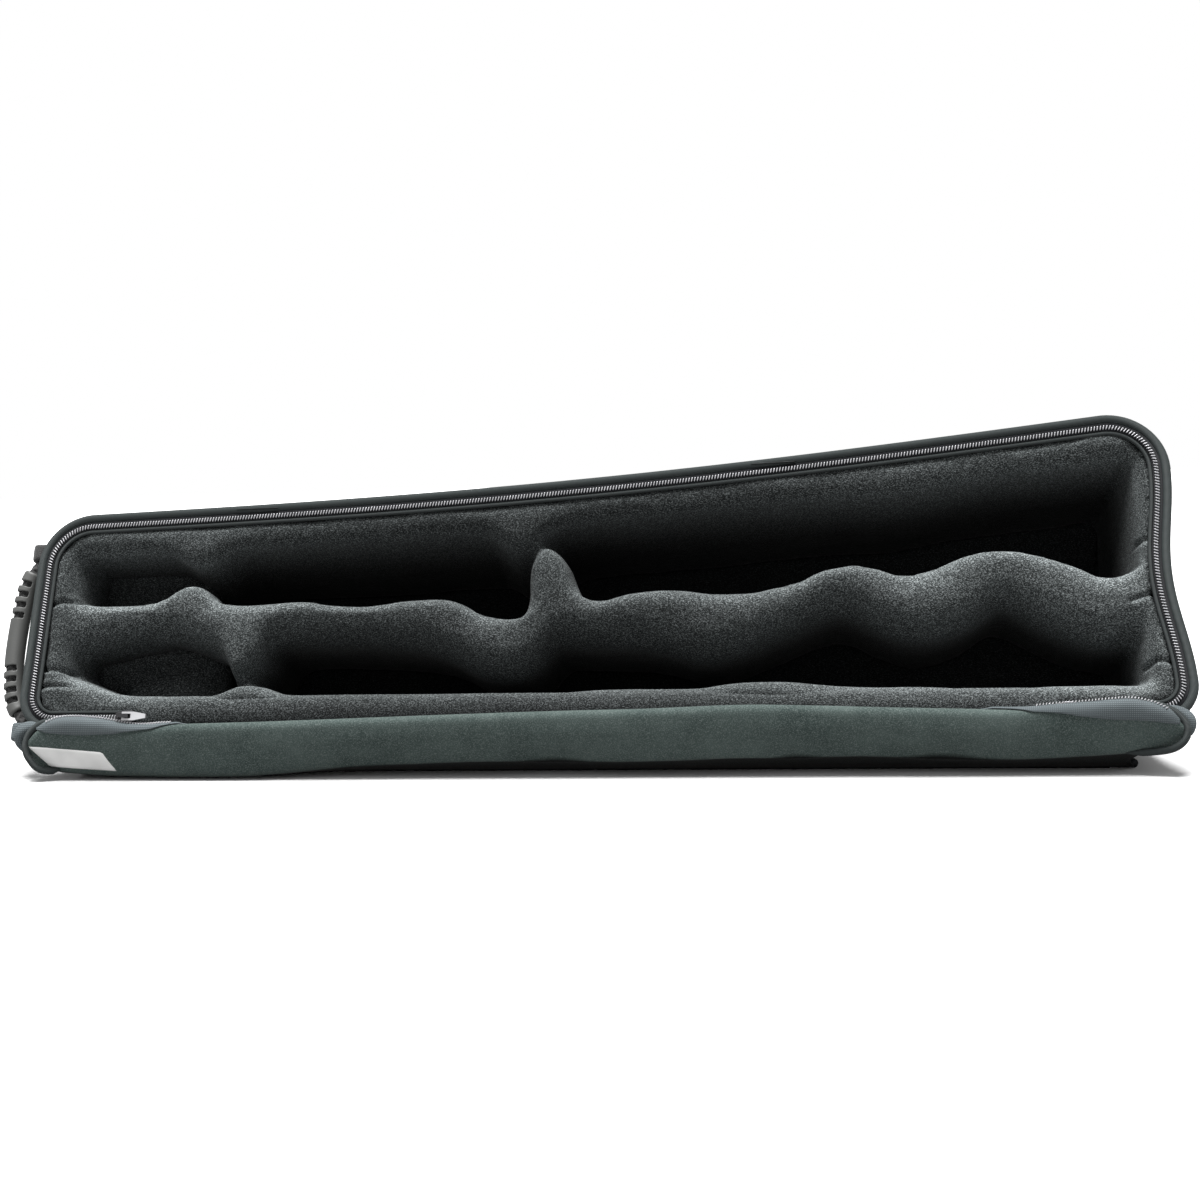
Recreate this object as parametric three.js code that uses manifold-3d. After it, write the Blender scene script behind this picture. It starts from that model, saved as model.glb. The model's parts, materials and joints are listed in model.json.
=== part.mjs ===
import * as THREE from 'three';
import { mergeVertices } from 'three/addons/utils/BufferGeometryUtils.js';
import Module from 'manifold-3d';

// Soft zipped case for a one-piece soprano saxophone, standing on its hinge side with the lid folded under.
// Tray frame: x along the case from the neck end to the bell end, y from the hinge side to the far side,
// z out of the opening. Zero is the zip line at the middle of the hinge side. Millimetres.

// Driving dimensions of the case
const caseLength = 720;
const neckWidth = 128;
const bellWidth = 181.4;
const neckEndLean = 2;
const bellEndLean = 8;
const farSideSag = 8.5;
const bellEndSag = 7;
const hingeCornerRadius = 15;
const neckCornerRadius = 28;
const bellCornerRadius = 28;
const trayDepth = 110;
const wallDraft = THREE.MathUtils.degToRad(8);
const leanBack = THREE.MathUtils.degToRad(22);
const clearance = 0.3;

// Rim, walls and zip
const wallOut = 5.5;
const wallIn = 2.4;
const rimDrop = 2.2;
const rimChamferWidth = 3.9;
const rimChamferDrop = 5.2;
const floorThickness = 5.7;
const heelRadius = 14;
const tapeIn = 2.1;
const tapeThickness = 0.7;
const chainWidth = 4;
const chainHeight = 1.6;
const chainTop = 0.6;
const pipingOut = 6.2;
const pipingDrop = 2.7;
const pipingRadius = 2.9;
const bindingWidth = 2;
const bindingHeight = 1.8;
const bindingTop = -0.6;
const zipSetback = 70;
const zipEnd = caseLength / 2 - zipSetback;

// Foam insert
const padTop = -2.8;
const padEdge = 5;
const dividerTop = -7;
const dividerEdge = caseLength / 180;
const rollWidth = 13;
const rollSlopeShare = 0.6;
const floorPadThickness = 4;
const padGap = 0.4;
const endPadWidth = 15;
const pocketDepth = 45;
const pocketEnd = 100;
const lowPocketEnd = 116;
const pocketReach = 70;

// Lid and its two folds
const flapThickness = 2;
const flapLift = 2.2;
const panelTop = 12;
const panelBottom = 1;
const panelShellBottom = 4.6;
const foldAxisLift = 2.5;
const hingeReach = 11;
const hingeEdge = 1;
const hingeClear = 2.4;
const lidOpenAngle = THREE.MathUtils.degToRad(248);
const foldAngle = THREE.MathUtils.degToRad(44);
const foldChamfer = THREE.MathUtils.degToRad(47);
const lidEdgeRise = 4.6;
const lidEdgeIn = 3.6;
const lidCrownWidth = 4.4;
const lensWidth = 9;
const lensLength = 105;
const labelLength = 50;
const labelWidth = 19;
const labelThickness = 0.5;
const labelInset = 6;
const labelReach = 3;
const notchStart = caseLength / 2 - 90;
const notchEnd = caseLength / 2 - 38;
const notchDepth = 17;

// Handle at the neck end
const ropeRadius = 4;
const gripRadius = 6.3;
const gripSlotWidth = 4;
const gripSlotPitch = 7.4;
const gripSlotCount = 4;
const gripSlotCut = 1;
const handleSpan = 118;
const handleDrop = 15;
const handleAxisOut = 11;
const sleeveRadius = 6;
const sleeveLength = 11;
const tabBack = 20;

// Slider, pull, strap tabs and rings
const sliderLength = 12;
const sliderWidth = 9;
const sliderHeight = 4.2;
const sliderNose = 6;
const sliderOutset = 1;
const sliderEdge = 1;
const bridgeHeight = 3.4;
const bridgeWidth = 2.4;
const bridgeLength = 7;
const pullLength = 15;
const pullWidth = 5.6;
const pullThickness = 1.5;
const pullEye = 5.2;
const pullBar = 1.5;
const pullShoulder = 7;
const tabWidth = 28;
const tabThickness = 1.8;
const tabDrop = 29;
const tabRise = 0.9;
const tabStandOff = 1.4;
const ringWire = 1.6;
const ringWidth = 20;
const ringDepth = 15;
const rollRadius = 3.7;
const rollLength = 13;

// Facets
const cornerSteps = 7;
const sideSteps = 12;
const endSteps = 9;
const curveSteps = 3;
const roundSides = 10;
const ropeSteps = 26;
const gripSteps = 18;
const gripSides = 14;
const ringSteps = 32;
const ringSides = 8;
const overrun = 60;
const beyond = caseLength;

const wasm = await Module();
wasm.setup();

// Geometry and solids

function toSolid(geometry) {
  const bare = geometry.clone();
  bare.deleteAttribute('normal');
  bare.deleteAttribute('uv');
  const merged = mergeVertices(bare);
  const mesh = new wasm.Mesh({
    numProp: 3,
    vertProperties: new Float32Array(merged.attributes.position.array),
    triVerts: new Uint32Array(merged.index.array),
  });
  return new wasm.Manifold(mesh);
}

function toGeometry(solid) {
  const mesh = solid.getMesh();
  const geometry = new THREE.BufferGeometry();
  geometry.setAttribute('position', new THREE.BufferAttribute(new Float32Array(mesh.vertProperties), 3));
  geometry.setIndex(new THREE.BufferAttribute(new Uint32Array(mesh.triVerts), 1));
  geometry.computeVertexNormals();
  return geometry;
}

function signedVolume(points, faces) {
  let sum = 0;
  for (let i = 0; i < faces.length; i += 3) {
    const a = points[faces[i]];
    const b = points[faces[i + 1]];
    const c = points[faces[i + 2]];
    sum += a.dot(new THREE.Vector3().crossVectors(b, c));
  }
  return sum;
}

// Skins a list of equal rings. An open skin is capped at both ends, a closed one runs round in a loop.
function skin(rings, closed = false) {
  const count = rings[0].length;
  const points = rings.flat();
  const faces = [];
  const spans = closed ? rings.length : rings.length - 1;
  for (let i = 0; i < spans; i += 1) {
    const here = i * count;
    const next = ((i + 1) % rings.length) * count;
    for (let j = 0; j < count; j += 1) {
      const k = (j + 1) % count;
      faces.push(here + j, next + j, next + k, here + j, next + k, here + k);
    }
  }
  if (!closed) {
    for (const end of [0, rings.length - 1]) {
      const middle = new THREE.Vector3();
      rings[end].forEach((point) => middle.addScaledVector(point, 1 / count));
      points.push(middle);
      const hub = points.length - 1;
      for (let j = 0; j < count; j += 1) {
        const a = end * count + j;
        const b = end * count + ((j + 1) % count);
        if (end === 0) faces.push(hub, a, b);
        else faces.push(hub, b, a);
      }
    }
  }
  if (signedVolume(points, faces) < 0) {
    for (let i = 0; i < faces.length; i += 3) {
      [faces[i + 1], faces[i + 2]] = [faces[i + 2], faces[i + 1]];
    }
  }
  const geometry = new THREE.BufferGeometry();
  geometry.setAttribute('position', new THREE.Float32BufferAttribute(points.flatMap((p) => p.toArray()), 3));
  geometry.setIndex(faces);
  geometry.computeVertexNormals();
  return geometry;
}

function box(x0, x1, y0, y1, z0, z1) {
  const size = [x1 - x0, y1 - y0, z1 - z0];
  return wasm.Manifold.cube(size).translate([x0, y0, z0]);
}

// A round-edged prism over a flat outline, from z0 up to z1
function prism(outline, z0, z1, edge = 0) {
  const shape = new THREE.Shape(outline.map((p) => new THREE.Vector2(p[0], p[1])));
  const geometry = new THREE.ExtrudeGeometry(shape, {
    depth: z1 - z0 - 2 * edge,
    bevelEnabled: edge > 0,
    bevelThickness: edge,
    bevelSize: edge,
    bevelOffset: -edge,
    bevelSegments: curveSteps,
  });
  geometry.translate(0, 0, z0 + edge);
  return toSolid(geometry);
}

// A prism along x over a flat outline of y and z
function rail(outline, x0, x1) {
  const ring = (x) => outline.map((p) => new THREE.Vector3(x, p[0], p[1]));
  return toSolid(skin([ring(x0), ring(x1)]));
}

function grown(solid, gap) {
  const copies = [[gap, 0], [-gap, 0], [0, gap], [0, -gap]].map((step) => solid.translate([...step, 0]));
  return wasm.Manifold.union([solid, ...copies]);
}

// The zip line round the rim, moved in by a distance. It starts and ends where the zip ends on the hinge
// side, and the hinge stretch between closes it.
function rimRing(inset, z) {
  const half = caseLength / 2;
  const corners = [
    new THREE.Vector2(-half, 0),
    new THREE.Vector2(-half + neckEndLean, neckWidth),
    new THREE.Vector2(half - bellEndLean, bellWidth),
    new THREE.Vector2(half, 0),
  ];
  const radii = [hingeCornerRadius, neckCornerRadius, bellCornerRadius, hingeCornerRadius];
  const sags = [0, farSideSag, bellEndSag, 0];
  const sides = corners.map((corner, i) => {
    const next = corners[(i + 1) % corners.length];
    const along = next.clone().sub(corner).normalize();
    const inward = new THREE.Vector2(along.y, -along.x);
    return { from: corner.clone().addScaledVector(inward, inset), along, inward };
  });
  const meet = (a, b) => {
    const cross = a.along.x * b.along.y - a.along.y * b.along.x;
    const gap = b.from.clone().sub(a.from);
    const reach = (gap.x * b.along.y - gap.y * b.along.x) / cross;
    return a.from.clone().addScaledVector(a.along, reach);
  };
  const inner = sides.map((side, i) => meet(sides[(i + sides.length - 1) % sides.length], side));
  const arcs = inner.map((corner, i) => {
    const before = sides[(i + sides.length - 1) % sides.length];
    const after = sides[i];
    const turn = Math.acos(before.along.dot(after.along));
    const radius = Math.max(radii[i] - inset, hingeCornerRadius / 4);
    const tangent = radius * Math.tan(turn / 2);
    const start = corner.clone().addScaledVector(before.along, -tangent);
    const centre = start.clone().addScaledVector(before.inward, radius);
    const from = start.clone().sub(centre).angle();
    return Array.from({ length: cornerSteps + 1 }, (_, k) => {
      const angle = from - (turn * k) / cornerSteps;
      return new THREE.Vector2(centre.x + radius * Math.cos(angle), centre.y + radius * Math.sin(angle));
    });
  });
  const side = (i, steps) => {
    const from = arcs[i][cornerSteps];
    const to = arcs[(i + 1) % arcs.length][0];
    return Array.from({ length: steps - 1 }, (_, k) => {
      const share = (k + 1) / steps;
      const sag = sags[i] * Math.sin(Math.PI * share) ** i;
      return from.clone().lerp(to, share).addScaledVector(sides[i].inward, sag);
    });
  };
  const hinge = (x) => new THREE.Vector2(x, inset);
  const hingeShares = [0.6, 0.2, -0.2, -0.6];
  const flat = [
    hinge(-zipEnd),
    ...arcs[0],
    ...side(0, endSteps),
    ...arcs[1],
    ...side(1, sideSteps),
    ...arcs[2],
    ...side(2, endSteps),
    ...arcs[3],
    hinge(zipEnd),
    ...hingeShares.map((share) => hinge(share * zipEnd)),
  ];
  return flat.map((p) => new THREE.Vector3(p.x, p.y, z));
}

const zipPoints = rimRing(0, 0).length - 4;

// Runs a profile of [inset, z] pairs along the zip line, all the way round or between the zip's ends
function rimBand(profile, whole = false) {
  const loops = profile.map((p) => rimRing(p[0], p[1]));
  const count = whole ? loops[0].length : zipPoints;
  const rings = Array.from({ length: count }, (_, i) => loops.map((loop) => loop[i]));
  return skin(rings, whole);
}

function rimSolid(rings) {
  return toSolid(skin(rings.map((r) => rimRing(r[0], r[1]))));
}

function circleProfile(inset, z, radius, sides = roundSides) {
  return Array.from({ length: sides }, (_, i) => {
    const angle = (2 * Math.PI * i) / sides;
    return [inset + radius * Math.cos(angle), z + radius * Math.sin(angle)];
  });
}

function flatProfile(inset0, inset1, z0, z1) {
  return [[inset0, z0], [inset1, z0], [inset1, z1], [inset0, z1]];
}

function chainProfile(bottom, top, side) {
  const half = chainWidth / 2;
  const shoulder = bottom + (top - bottom) / 2;
  return [[-half, bottom], [half, bottom], [half, shoulder], [half / 2, top], [-half / 2, top], [-half, shoulder]]
    .map((p) => [p[0], side > 0 ? p[1] : bottom + top - p[1]]);
}

// Materials

function material(color, roughness, metalness = 0) {
  return new THREE.MeshStandardMaterial({ color, roughness, metalness });
}

const fleece = material(0x2b2b2c, 0.95);
const cover = material(0x1d2324, 0.85);
const suede = material(0x222a29, 0.9);
const tape = material(0x2c3433, 0.8);
const coil = material(0x4a4a50, 0.35);
const steel = material(0xb9bbbe, 0.3, 1);
const rubber = material(0x5a5a57, 0.6);
const cordage = material(0x151515, 0.9);
const plate = material(0xe9e9e6, 0.5);

const tray = new THREE.Group();
tray.name = 'tray_group';

function place(group, name, geometry, look) {
  const mesh = new THREE.Mesh(geometry.isBufferGeometry ? geometry : toGeometry(geometry), look.clone());
  mesh.name = name;
  group.add(mesh);
  return mesh;
}

// Tray shell: one moulded tub with drafted walls, a chamfered rim and a rounded heel

const draftShare = Math.tan(wallDraft);
const rimTop = -rimDrop;
const chamferFoot = rimTop - rimChamferDrop;
const heelTop = -trayDepth + heelRadius;
const innerFloor = -trayDepth + floorThickness;
const innerHeel = innerFloor + heelRadius / 2;
const outerInset = (z) => -wallOut + (chamferFoot - z) * draftShare;
const innerInset = (z) => wallIn + (rimTop - z) * draftShare;
const heelShares = [[0.2, 0.56], [0.55, 0.86], [1, 1]];
const outerRings = [
  [-wallOut + rimChamferWidth, rimTop],
  [-wallOut, chamferFoot],
  [outerInset(heelTop), heelTop],
  ...heelShares.map((s) => [outerInset(heelTop) + s[0] * heelRadius, heelTop - s[1] * heelRadius]),
];
const innerRings = [
  [wallIn, rimTop],
  [innerInset(innerHeel), innerHeel],
  ...heelShares.map((s) => [
    innerInset(innerHeel) + (s[0] * heelRadius) / 2,
    innerHeel - (s[1] * heelRadius) / 2,
  ]),
];
// The shell is a back board with its rounded heel, and four walls that stand on it
const shell = rimSolid([...innerRings.slice().reverse(), ...outerRings]);
const boardTop = innerHeel - heelRadius / 4;
const wallFoot = boardTop + clearance;
const neckWallEnd = neckCornerRadius + neckEndLean - caseLength / 2;
const bellWallEnd = caseLength / 2 - bellCornerRadius - bellEndLean;
const shellSpans = {
  tray_back_board: [-beyond, beyond, -beyond, beyond, -beyond, boardTop],
  tray_wall_neck: [-beyond, neckWallEnd, -beyond, beyond, wallFoot, beyond],
  tray_wall_bell: [bellWallEnd, beyond, -beyond, beyond, wallFoot, beyond],
  tray_wall_far: [neckWallEnd + clearance, bellWallEnd - clearance, neckWidth / 2, beyond, wallFoot, beyond],
  tray_wall_hinge: [neckWallEnd + clearance, bellWallEnd - clearance, -beyond, neckWidth / 2, wallFoot, beyond],
};
for (const [name, span] of Object.entries(shellSpans)) {
  place(tray, name, shell.intersect(box(...span)), cover);
}
const trayOutside = rimSolid(outerRings);
const grownRings = outerRings.map((r, i) => [r[0] - clearance, i ? r[1] - clearance : r[1] + clearance]);
const trayGrown = rimSolid(grownRings);

// Rim: piping, zip tape, coil chain, inner binding and the rolled hinge edge

place(tray, 'rim_piping', rimBand(circleProfile(-pipingOut, -pipingDrop, pipingRadius)), cover);
const tapeTop = chainTop - chainHeight - clearance;
const tapeProfile = flatProfile(-wallOut + rimChamferWidth, tapeIn, tapeTop - tapeThickness, tapeTop);
place(tray, 'tray_zip_tape', rimBand(tapeProfile), tape);
place(tray, 'tray_zip_chain', rimBand(chainProfile(chainTop - chainHeight, chainTop, 1)), coil);
const bindingInset = chainWidth / 2 + 2 * clearance;
const bindingSpan = [bindingInset, bindingInset + bindingWidth];
const bindingProfile = flatProfile(...bindingSpan, bindingTop - bindingHeight, bindingTop);
place(
  tray,
  'rim_binding',
  rimBand(bindingProfile, true),
  tape,
);
const rollCentre = new THREE.Vector2(-pipingOut, -pipingDrop);
const hingeAxis = new THREE.Vector2(-hingeReach, foldAxisLift);
const noseWay = rollCentre.clone().sub(hingeAxis).normalize();
const nose = hingeAxis.clone().addScaledVector(noseWay, hingeClear);
const noseAngle = noseWay.clone().negate().angle();
const rollArc = Array.from({ length: roundSides }, (_, i) => {
  const angle = noseAngle + Math.PI / 3 + (i * (4 * Math.PI)) / 3 / (roundSides - 1);
  return [rollCentre.x + pipingRadius * Math.cos(angle), rollCentre.y + pipingRadius * Math.sin(angle)];
});
place(tray, 'hinge_roll', rail([nose.toArray(), ...rollArc], clearance - zipEnd, zipEnd - clearance), cover);

// Foam insert: every pad is cut from the space inside the drafted tub

const padFloor = innerFloor + clearance + floorPadThickness;
const cavityInset = (z) => innerInset(z) + clearance;
const cavityRings = [
  [cavityInset(padTop), padTop],
  [cavityInset(innerHeel), innerHeel],
  [cavityInset(innerHeel) + heelRadius / 4, padFloor + clearance],
];
const cavity = rimSolid(cavityRings);
const floorInset = cavityInset(innerHeel) + heelRadius / 4;
const floorRings = [
  [floorInset, padFloor],
  [floorInset + heelRadius / 8, innerFloor + heelRadius / 8],
  [floorInset + heelRadius / 3, innerFloor + clearance],
];
place(tray, 'floor_pad', rimSolid(floorRings), fleece);

function spline(shares, steps = curveSteps) {
  const points = shares.map((s) => new THREE.Vector2((s[0] - 0.5) * caseLength, s[1] * bellWidth));
  return new THREE.SplineCurve(points).getPoints((shares.length - 1) * steps).map((p) => [p.x, p.y]);
}

// Leans a solid: dx and dy are how far it moves in x and y for each step down
function sheared(solid, dx, dy) {
  return solid.transform([1, 0, 0, 0, 0, 1, 0, 0, -dx, -dy, 1, 0, 0, 0, 0, 1]);
}

// Long pads are glued up from lengths of foam, cut where they bend
const farCutShares = [0.143, 0.3, 0.439, 0.72];
const hingeCutShares = [0.21, 0.6];
const dividerCutShares = [0.16, 0.3, 0.44, 0.5, 0.65, 0.8];
const largest = (solid) => solid.decompose().sort((a, b) => b.volume() - a.volume())[0];

function placeSections(name, solid, cutShares) {
  const cuts = [-beyond, ...cutShares.map((share) => (share - 0.5) * caseLength), beyond];
  for (let i = 1; i < cuts.length; i += 1) {
    const slab = box(cuts[i - 1] + clearance / 2, cuts[i] - clearance / 2, -beyond, beyond, -beyond, beyond);
    place(tray, `${name}_${i}`, largest(solid.intersect(slab)), fleece);
  }
}

const padBase = padFloor + clearance - 2 * padEdge;
const endX = caseLength / 2 - endPadWidth;
const neckBlock = sheared(
  prism([[-beyond, -beyond], [-endX, -beyond], [-endX, beyond], [-beyond, beyond]], padBase, padTop, padEdge),
  draftShare,
  0,
);
const bellBlock = sheared(
  prism([[beyond, -beyond], [beyond, beyond], [endX, beyond], [endX, -beyond]], padBase, padTop, padEdge),
  -draftShare,
  0,
);

// The hinge pad is a thin wavy strip, with a rise where the lower pocket ends
const hingeEdgeShares = [
  [-0.02, 0.14], [0.024, 0.138], [0.054, 0.099], [0.081, 0.069], [0.156, 0.052], [0.178, 0.077], [0.192, 0.099],
  [0.214, 0.088], [0.229, 0.063], [0.303, 0.05], [0.41, 0.055], [0.532, 0.063], [0.6, 0.074], [0.661, 0.088],
  [0.736, 0.069], [0.835, 0.058], [0.979, 0.066], [1.02, 0.066],
];
const hingeBlock = sheared(
  prism([...spline(hingeEdgeShares), [beyond, -overrun], [-beyond, -overrun]], padBase, padTop, padEdge),
  0,
  draftShare,
);

// The far pad has two swells that hold the horn against the divider
const farEdgeShares = [
  [-0.02, 0.63], [0.024, 0.639], [0.083, 0.65], [0.118, 0.646], [0.143, 0.584], [0.167, 0.65], [0.21, 0.668],
  [0.292, 0.678], [0.389, 0.7], [0.414, 0.69], [0.439, 0.623], [0.467, 0.708], [0.51, 0.74], [0.583, 0.761],
  [0.708, 0.799], [0.771, 0.81], [0.847, 0.865], [0.979, 0.921], [1.02, 0.93],
];
const farBlock = sheared(
  prism(
    [...spline(farEdgeShares), [beyond, bellWidth + overrun], [-beyond, bellWidth + overrun]],
    padBase,
    padTop,
    padEdge,
  ),
  0,
  -draftShare,
);

const neckPad = cavity.intersect(neckBlock);
const bellPad = cavity.intersect(bellBlock);
const ends = wasm.Manifold.union([grown(neckPad, padGap), grown(bellPad, padGap)]);
const farPad = largest(cavity.intersect(farBlock).subtract(ends));
const hingePad = largest(cavity.intersect(hingeBlock).subtract(ends));
place(tray, 'neck_end_pad', neckPad, fleece);
place(tray, 'bell_end_pad', bellPad, fleece);
placeSections('far_wall_pad', farPad, farCutShares);
placeSections('hinge_wall_pad', hingePad, hingeCutShares);

// The divider winds between the two channels, with a tongue that keeps the horn from sliding. Its top rolls
// down towards the hinge side
const crestShares = [
  [-0.03, 0.44], [0.025, 0.43], [0.04, 0.422], [0.097, 0.422], [0.111, 0.441], [0.133, 0.496], [0.149, 0.469],
  [0.164, 0.417], [0.239, 0.419], [0.281, 0.391], [0.368, 0.424], [0.404, 0.356], [0.428, 0.347], [0.445, 0.36],
  [0.451, 0.435], [0.451, 0.557], [0.464, 0.612], [0.476, 0.562], [0.485, 0.469], [0.493, 0.424], [0.511, 0.402],
  [0.529, 0.424], [0.568, 0.441], [0.631, 0.416], [0.686, 0.455], [0.7, 0.491], [0.729, 0.518], [0.756, 0.502],
  [0.776, 0.474], [0.797, 0.491], [0.832, 0.546], [0.86, 0.562], [0.891, 0.54], [0.924, 0.491], [0.947, 0.447],
  [0.979, 0.485], [1.03, 0.5],
];
const footShares = [
  [1.03, 0.28], [0.979, 0.276], [0.936, 0.265], [0.888, 0.353], [0.858, 0.408], [0.825, 0.325], [0.788, 0.287],
  [0.754, 0.331], [0.717, 0.391], [0.662, 0.298], [0.61, 0.226], [0.575, 0.259], [0.54, 0.287], [0.494, 0.292],
  [0.469, 0.292], [0.442, 0.171], [0.407, 0.182], [0.351, 0.287], [0.219, 0.309], [0.201, 0.209], [0.182, 0.138],
  [0.168, 0.237], [0.138, 0.298], [0.11, 0.331], [0.056, 0.287], [0.021, 0.259], [-0.03, 0.259],
];
const walls = wasm.Manifold.union([ends, grown(farPad, padGap), grown(hingePad, padGap)]);
const dividerOutline = [...spline(crestShares), ...spline(footShares)].reverse();
const dividerBase = padFloor + clearance - 2 * dividerEdge;
const farLimit = bellWidth + overrun;
const crestSide = [...spline(footShares), [-beyond, farLimit], [beyond, farLimit]].reverse();
const rollCut = sheared(prism(crestSide, dividerBase - overrun, overrun), 0, -rollSlopeShare)
  .translate([0, rollWidth - rollSlopeShare * dividerTop, 0]);
const dividerBlock = prism(dividerOutline, dividerBase, dividerTop, dividerEdge).intersect(rollCut);
const divider = cavity.intersect(dividerBlock).subtract(walls);
placeSections('divider_pad', divider, dividerCutShares);

// The two neck-end pockets are shallower than the channels
const pads = [neckPad, hingePad, farPad, divider];
const standing = wasm.Manifold.union(pads.map((pad) => grown(pad, padGap + clearance)));
const neckX = -caseLength / 2;
const pocketTop = -pocketDepth;
const highBlock = prism(
  [[neckX, pocketReach], [neckX + pocketEnd, pocketReach], [neckX + pocketEnd, beyond], [neckX, beyond]],
  padBase,
  pocketTop,
  padEdge,
);
const lowBlock = prism(
  [[neckX, 0], [neckX + lowPocketEnd, 0], [neckX + lowPocketEnd, pocketReach], [neckX, pocketReach]],
  padBase,
  pocketTop,
  padEdge,
);
place(tray, 'upper_pocket_floor', largest(cavity.intersect(highBlock).subtract(standing)), fleece);
place(tray, 'lower_pocket_floor', largest(cavity.intersect(lowBlock).subtract(standing)), fleece);

// Handle: a rope loop in a slotted rubber grip, turning in two sleeves sewn to the neck end

const handleX = -caseLength / 2 - handleAxisOut;
const farEndShare = 1.03;
const hingeEndShare = -0.1;
const handleShares = [
  [0, farEndShare], [0, 0.93], [0.42, 0.87], [0.78, 0.77], [0.96, 0.62], [1.04, 0.4], [0.91, 0.22], [0.64, 0.11],
  [0.24, 0.045], [0.02, 0], [0, -0.05], [0, hingeEndShare],
];
const handleCurve = new THREE.CatmullRomCurve3(
  handleShares.map((s) => new THREE.Vector3(handleX - s[0] * handleAxisOut, s[1] * handleSpan, -handleDrop)),
);

function tube(curve, from, to, radius, steps = ropeSteps, sides = roundSides) {
  const up = new THREE.Vector3(0, 0, 1);
  const rings = Array.from({ length: steps + 1 }, (_, i) => {
    const share = from + ((to - from) * i) / steps;
    const centre = curve.getPointAt(share);
    const across = new THREE.Vector3().crossVectors(curve.getTangentAt(share), up).normalize();
    return Array.from({ length: sides }, (_, j) => {
      const angle = (2 * Math.PI * j) / sides;
      const point = centre.clone().addScaledVector(across, radius * Math.cos(angle));
      return point.addScaledVector(up, radius * Math.sin(angle));
    });
  });
  return skin(rings);
}

const handle = new THREE.Group();
handle.name = 'handle_group';
const gripStartShare = 0.15;
const gripEndShare = 0.86;
const firstSlotShare = 1.15;
const spineShare = 0.62;
place(handle, 'handle_rope', tube(handleCurve, 0, 1, ropeRadius), cordage);
let grip = toSolid(tube(handleCurve, gripStartShare, gripEndShare, gripRadius, gripSteps, gripSides));
const gripBore = tube(handleCurve, gripStartShare / 2, (1 + gripEndShare) / 2, ropeRadius + clearance);
grip = grip.subtract(toSolid(gripBore));
const handleLength = handleCurve.getLength();
for (let i = 0; i < gripSlotCount; i += 1) {
  for (const end of [1, -1]) {
    const offset = ((i + firstSlotShare) * gripSlotPitch) / handleLength;
    const share = end > 0 ? gripStartShare + offset : gripEndShare - offset;
    const centre = handleCurve.getPointAt(share);
    const tangent = handleCurve.getTangentAt(share);
    const turn = THREE.MathUtils.radToDeg(Math.atan2(tangent.x, -tangent.y));
    const cut = wasm.Manifold.cube([gripRadius * 2, gripSlotWidth, gripRadius * 2])
      .translate([-spineShare * gripRadius, -gripSlotWidth / 2, -gripSlotCut])
      .rotate([0, 0, turn])
      .translate(centre.toArray());
    grip = grip.subtract(cut);
  }
}
place(handle, 'handle_grip', grip, rubber);

const sleeveTops = {
  handle_sleeve_far: farEndShare * handleSpan,
  handle_sleeve_hinge: hingeEndShare * handleSpan + sleeveLength,
};
for (const [name, y] of Object.entries(sleeveTops)) {
  const middle = [handleX, y, -handleDrop];
  const sleeve = wasm.Manifold.cylinder(sleeveLength, sleeveRadius, sleeveRadius, roundSides + 4)
    .rotate([90, 0, 0])
    .translate(middle);
  const halfWeb = sleeveRadius / 2;
  const webSpan = [handleX, handleX + tabBack, y - sleeveLength, y];
  const web = box(...webSpan, -handleDrop - halfWeb, -handleDrop + halfWeb);
  const boreRadius = ropeRadius + 2 * clearance;
  const bore = wasm.Manifold.cylinder(sleeveLength * 2, boreRadius, boreRadius, roundSides * 2)
    .rotate([90, 0, 0])
    .translate([handleX, y + sleeveLength / 2, -handleDrop]);
  place(tray, name, largest(sleeve.add(web).subtract(bore).subtract(trayGrown)), cover);
}
tray.add(handle);

// Sliders and pulls parked at the two ends of the zip

for (const [side, sign] of [['neck', -1], ['bell', 1]]) {
  const middle = sign * (zipEnd + sliderLength / 3);
  const bottom = chainTop + clearance;
  const top = bottom + sliderHeight;
  const half = sliderLength / 2;
  const wide = sliderWidth / 2;
  const nose = sliderNose / 2;
  const plan = [[-half, -nose], [0, -wide], [half, -wide], [half, wide], [0, wide], [-half, nose]];
  const body = prism(plan.map((p) => [middle - sign * p[0], p[1] - sliderOutset]), bottom, top, sliderEdge);
  const bridgeSpan = [-sliderOutset - bridgeWidth / 2, -sliderOutset + bridgeWidth / 2];
  const bridge = (x0, x1, z0) => box(x0, x1, ...bridgeSpan, z0, top + bridgeHeight);
  const [left, right] = [middle - bridgeLength / 2, middle + bridgeLength / 2];
  const post = (at) => bridge(at - bridgeWidth / 4, at + bridgeWidth / 4, top - clearance);
  const bar = bridge(left, right, top + bridgeHeight - bridgeWidth / 3);
  const posts = post(left).add(post(right));
  const slider = new THREE.Group();
  slider.name = `slider_group_${side}`;
  place(slider, `slider_body_${side}`, body.add(posts).add(bar), steel);
  tray.add(slider);

  const pull = new THREE.Group();
  pull.name = `pull_group_${side}`;
  const lift = top + clearance;
  const halfBar = pullBar / 2;
  const leafShares = [
    [-halfBar, -1], [pullShoulder, -1], [pullLength, -0.45], [pullLength, 0.45], [pullShoulder, 1], [-halfBar, 1],
  ];
  const toCase = (p, width) => [middle - sign * p[0], p[1] * width - sliderOutset];
  const leaf = prism(leafShares.map((p) => toCase(p, pullWidth / 2)), lift, lift + pullThickness);
  const eyeShares = [[halfBar, -1], [pullEye, -1], [pullEye, 1], [halfBar, 1]];
  const eye = prism(eyeShares.map((p) => toCase(p, bridgeWidth / 2 + clearance)), -overrun, overrun);
  place(pull, `pull_tab_${side}`, leaf.subtract(eye), steel);
  slider.add(pull);
}

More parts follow.
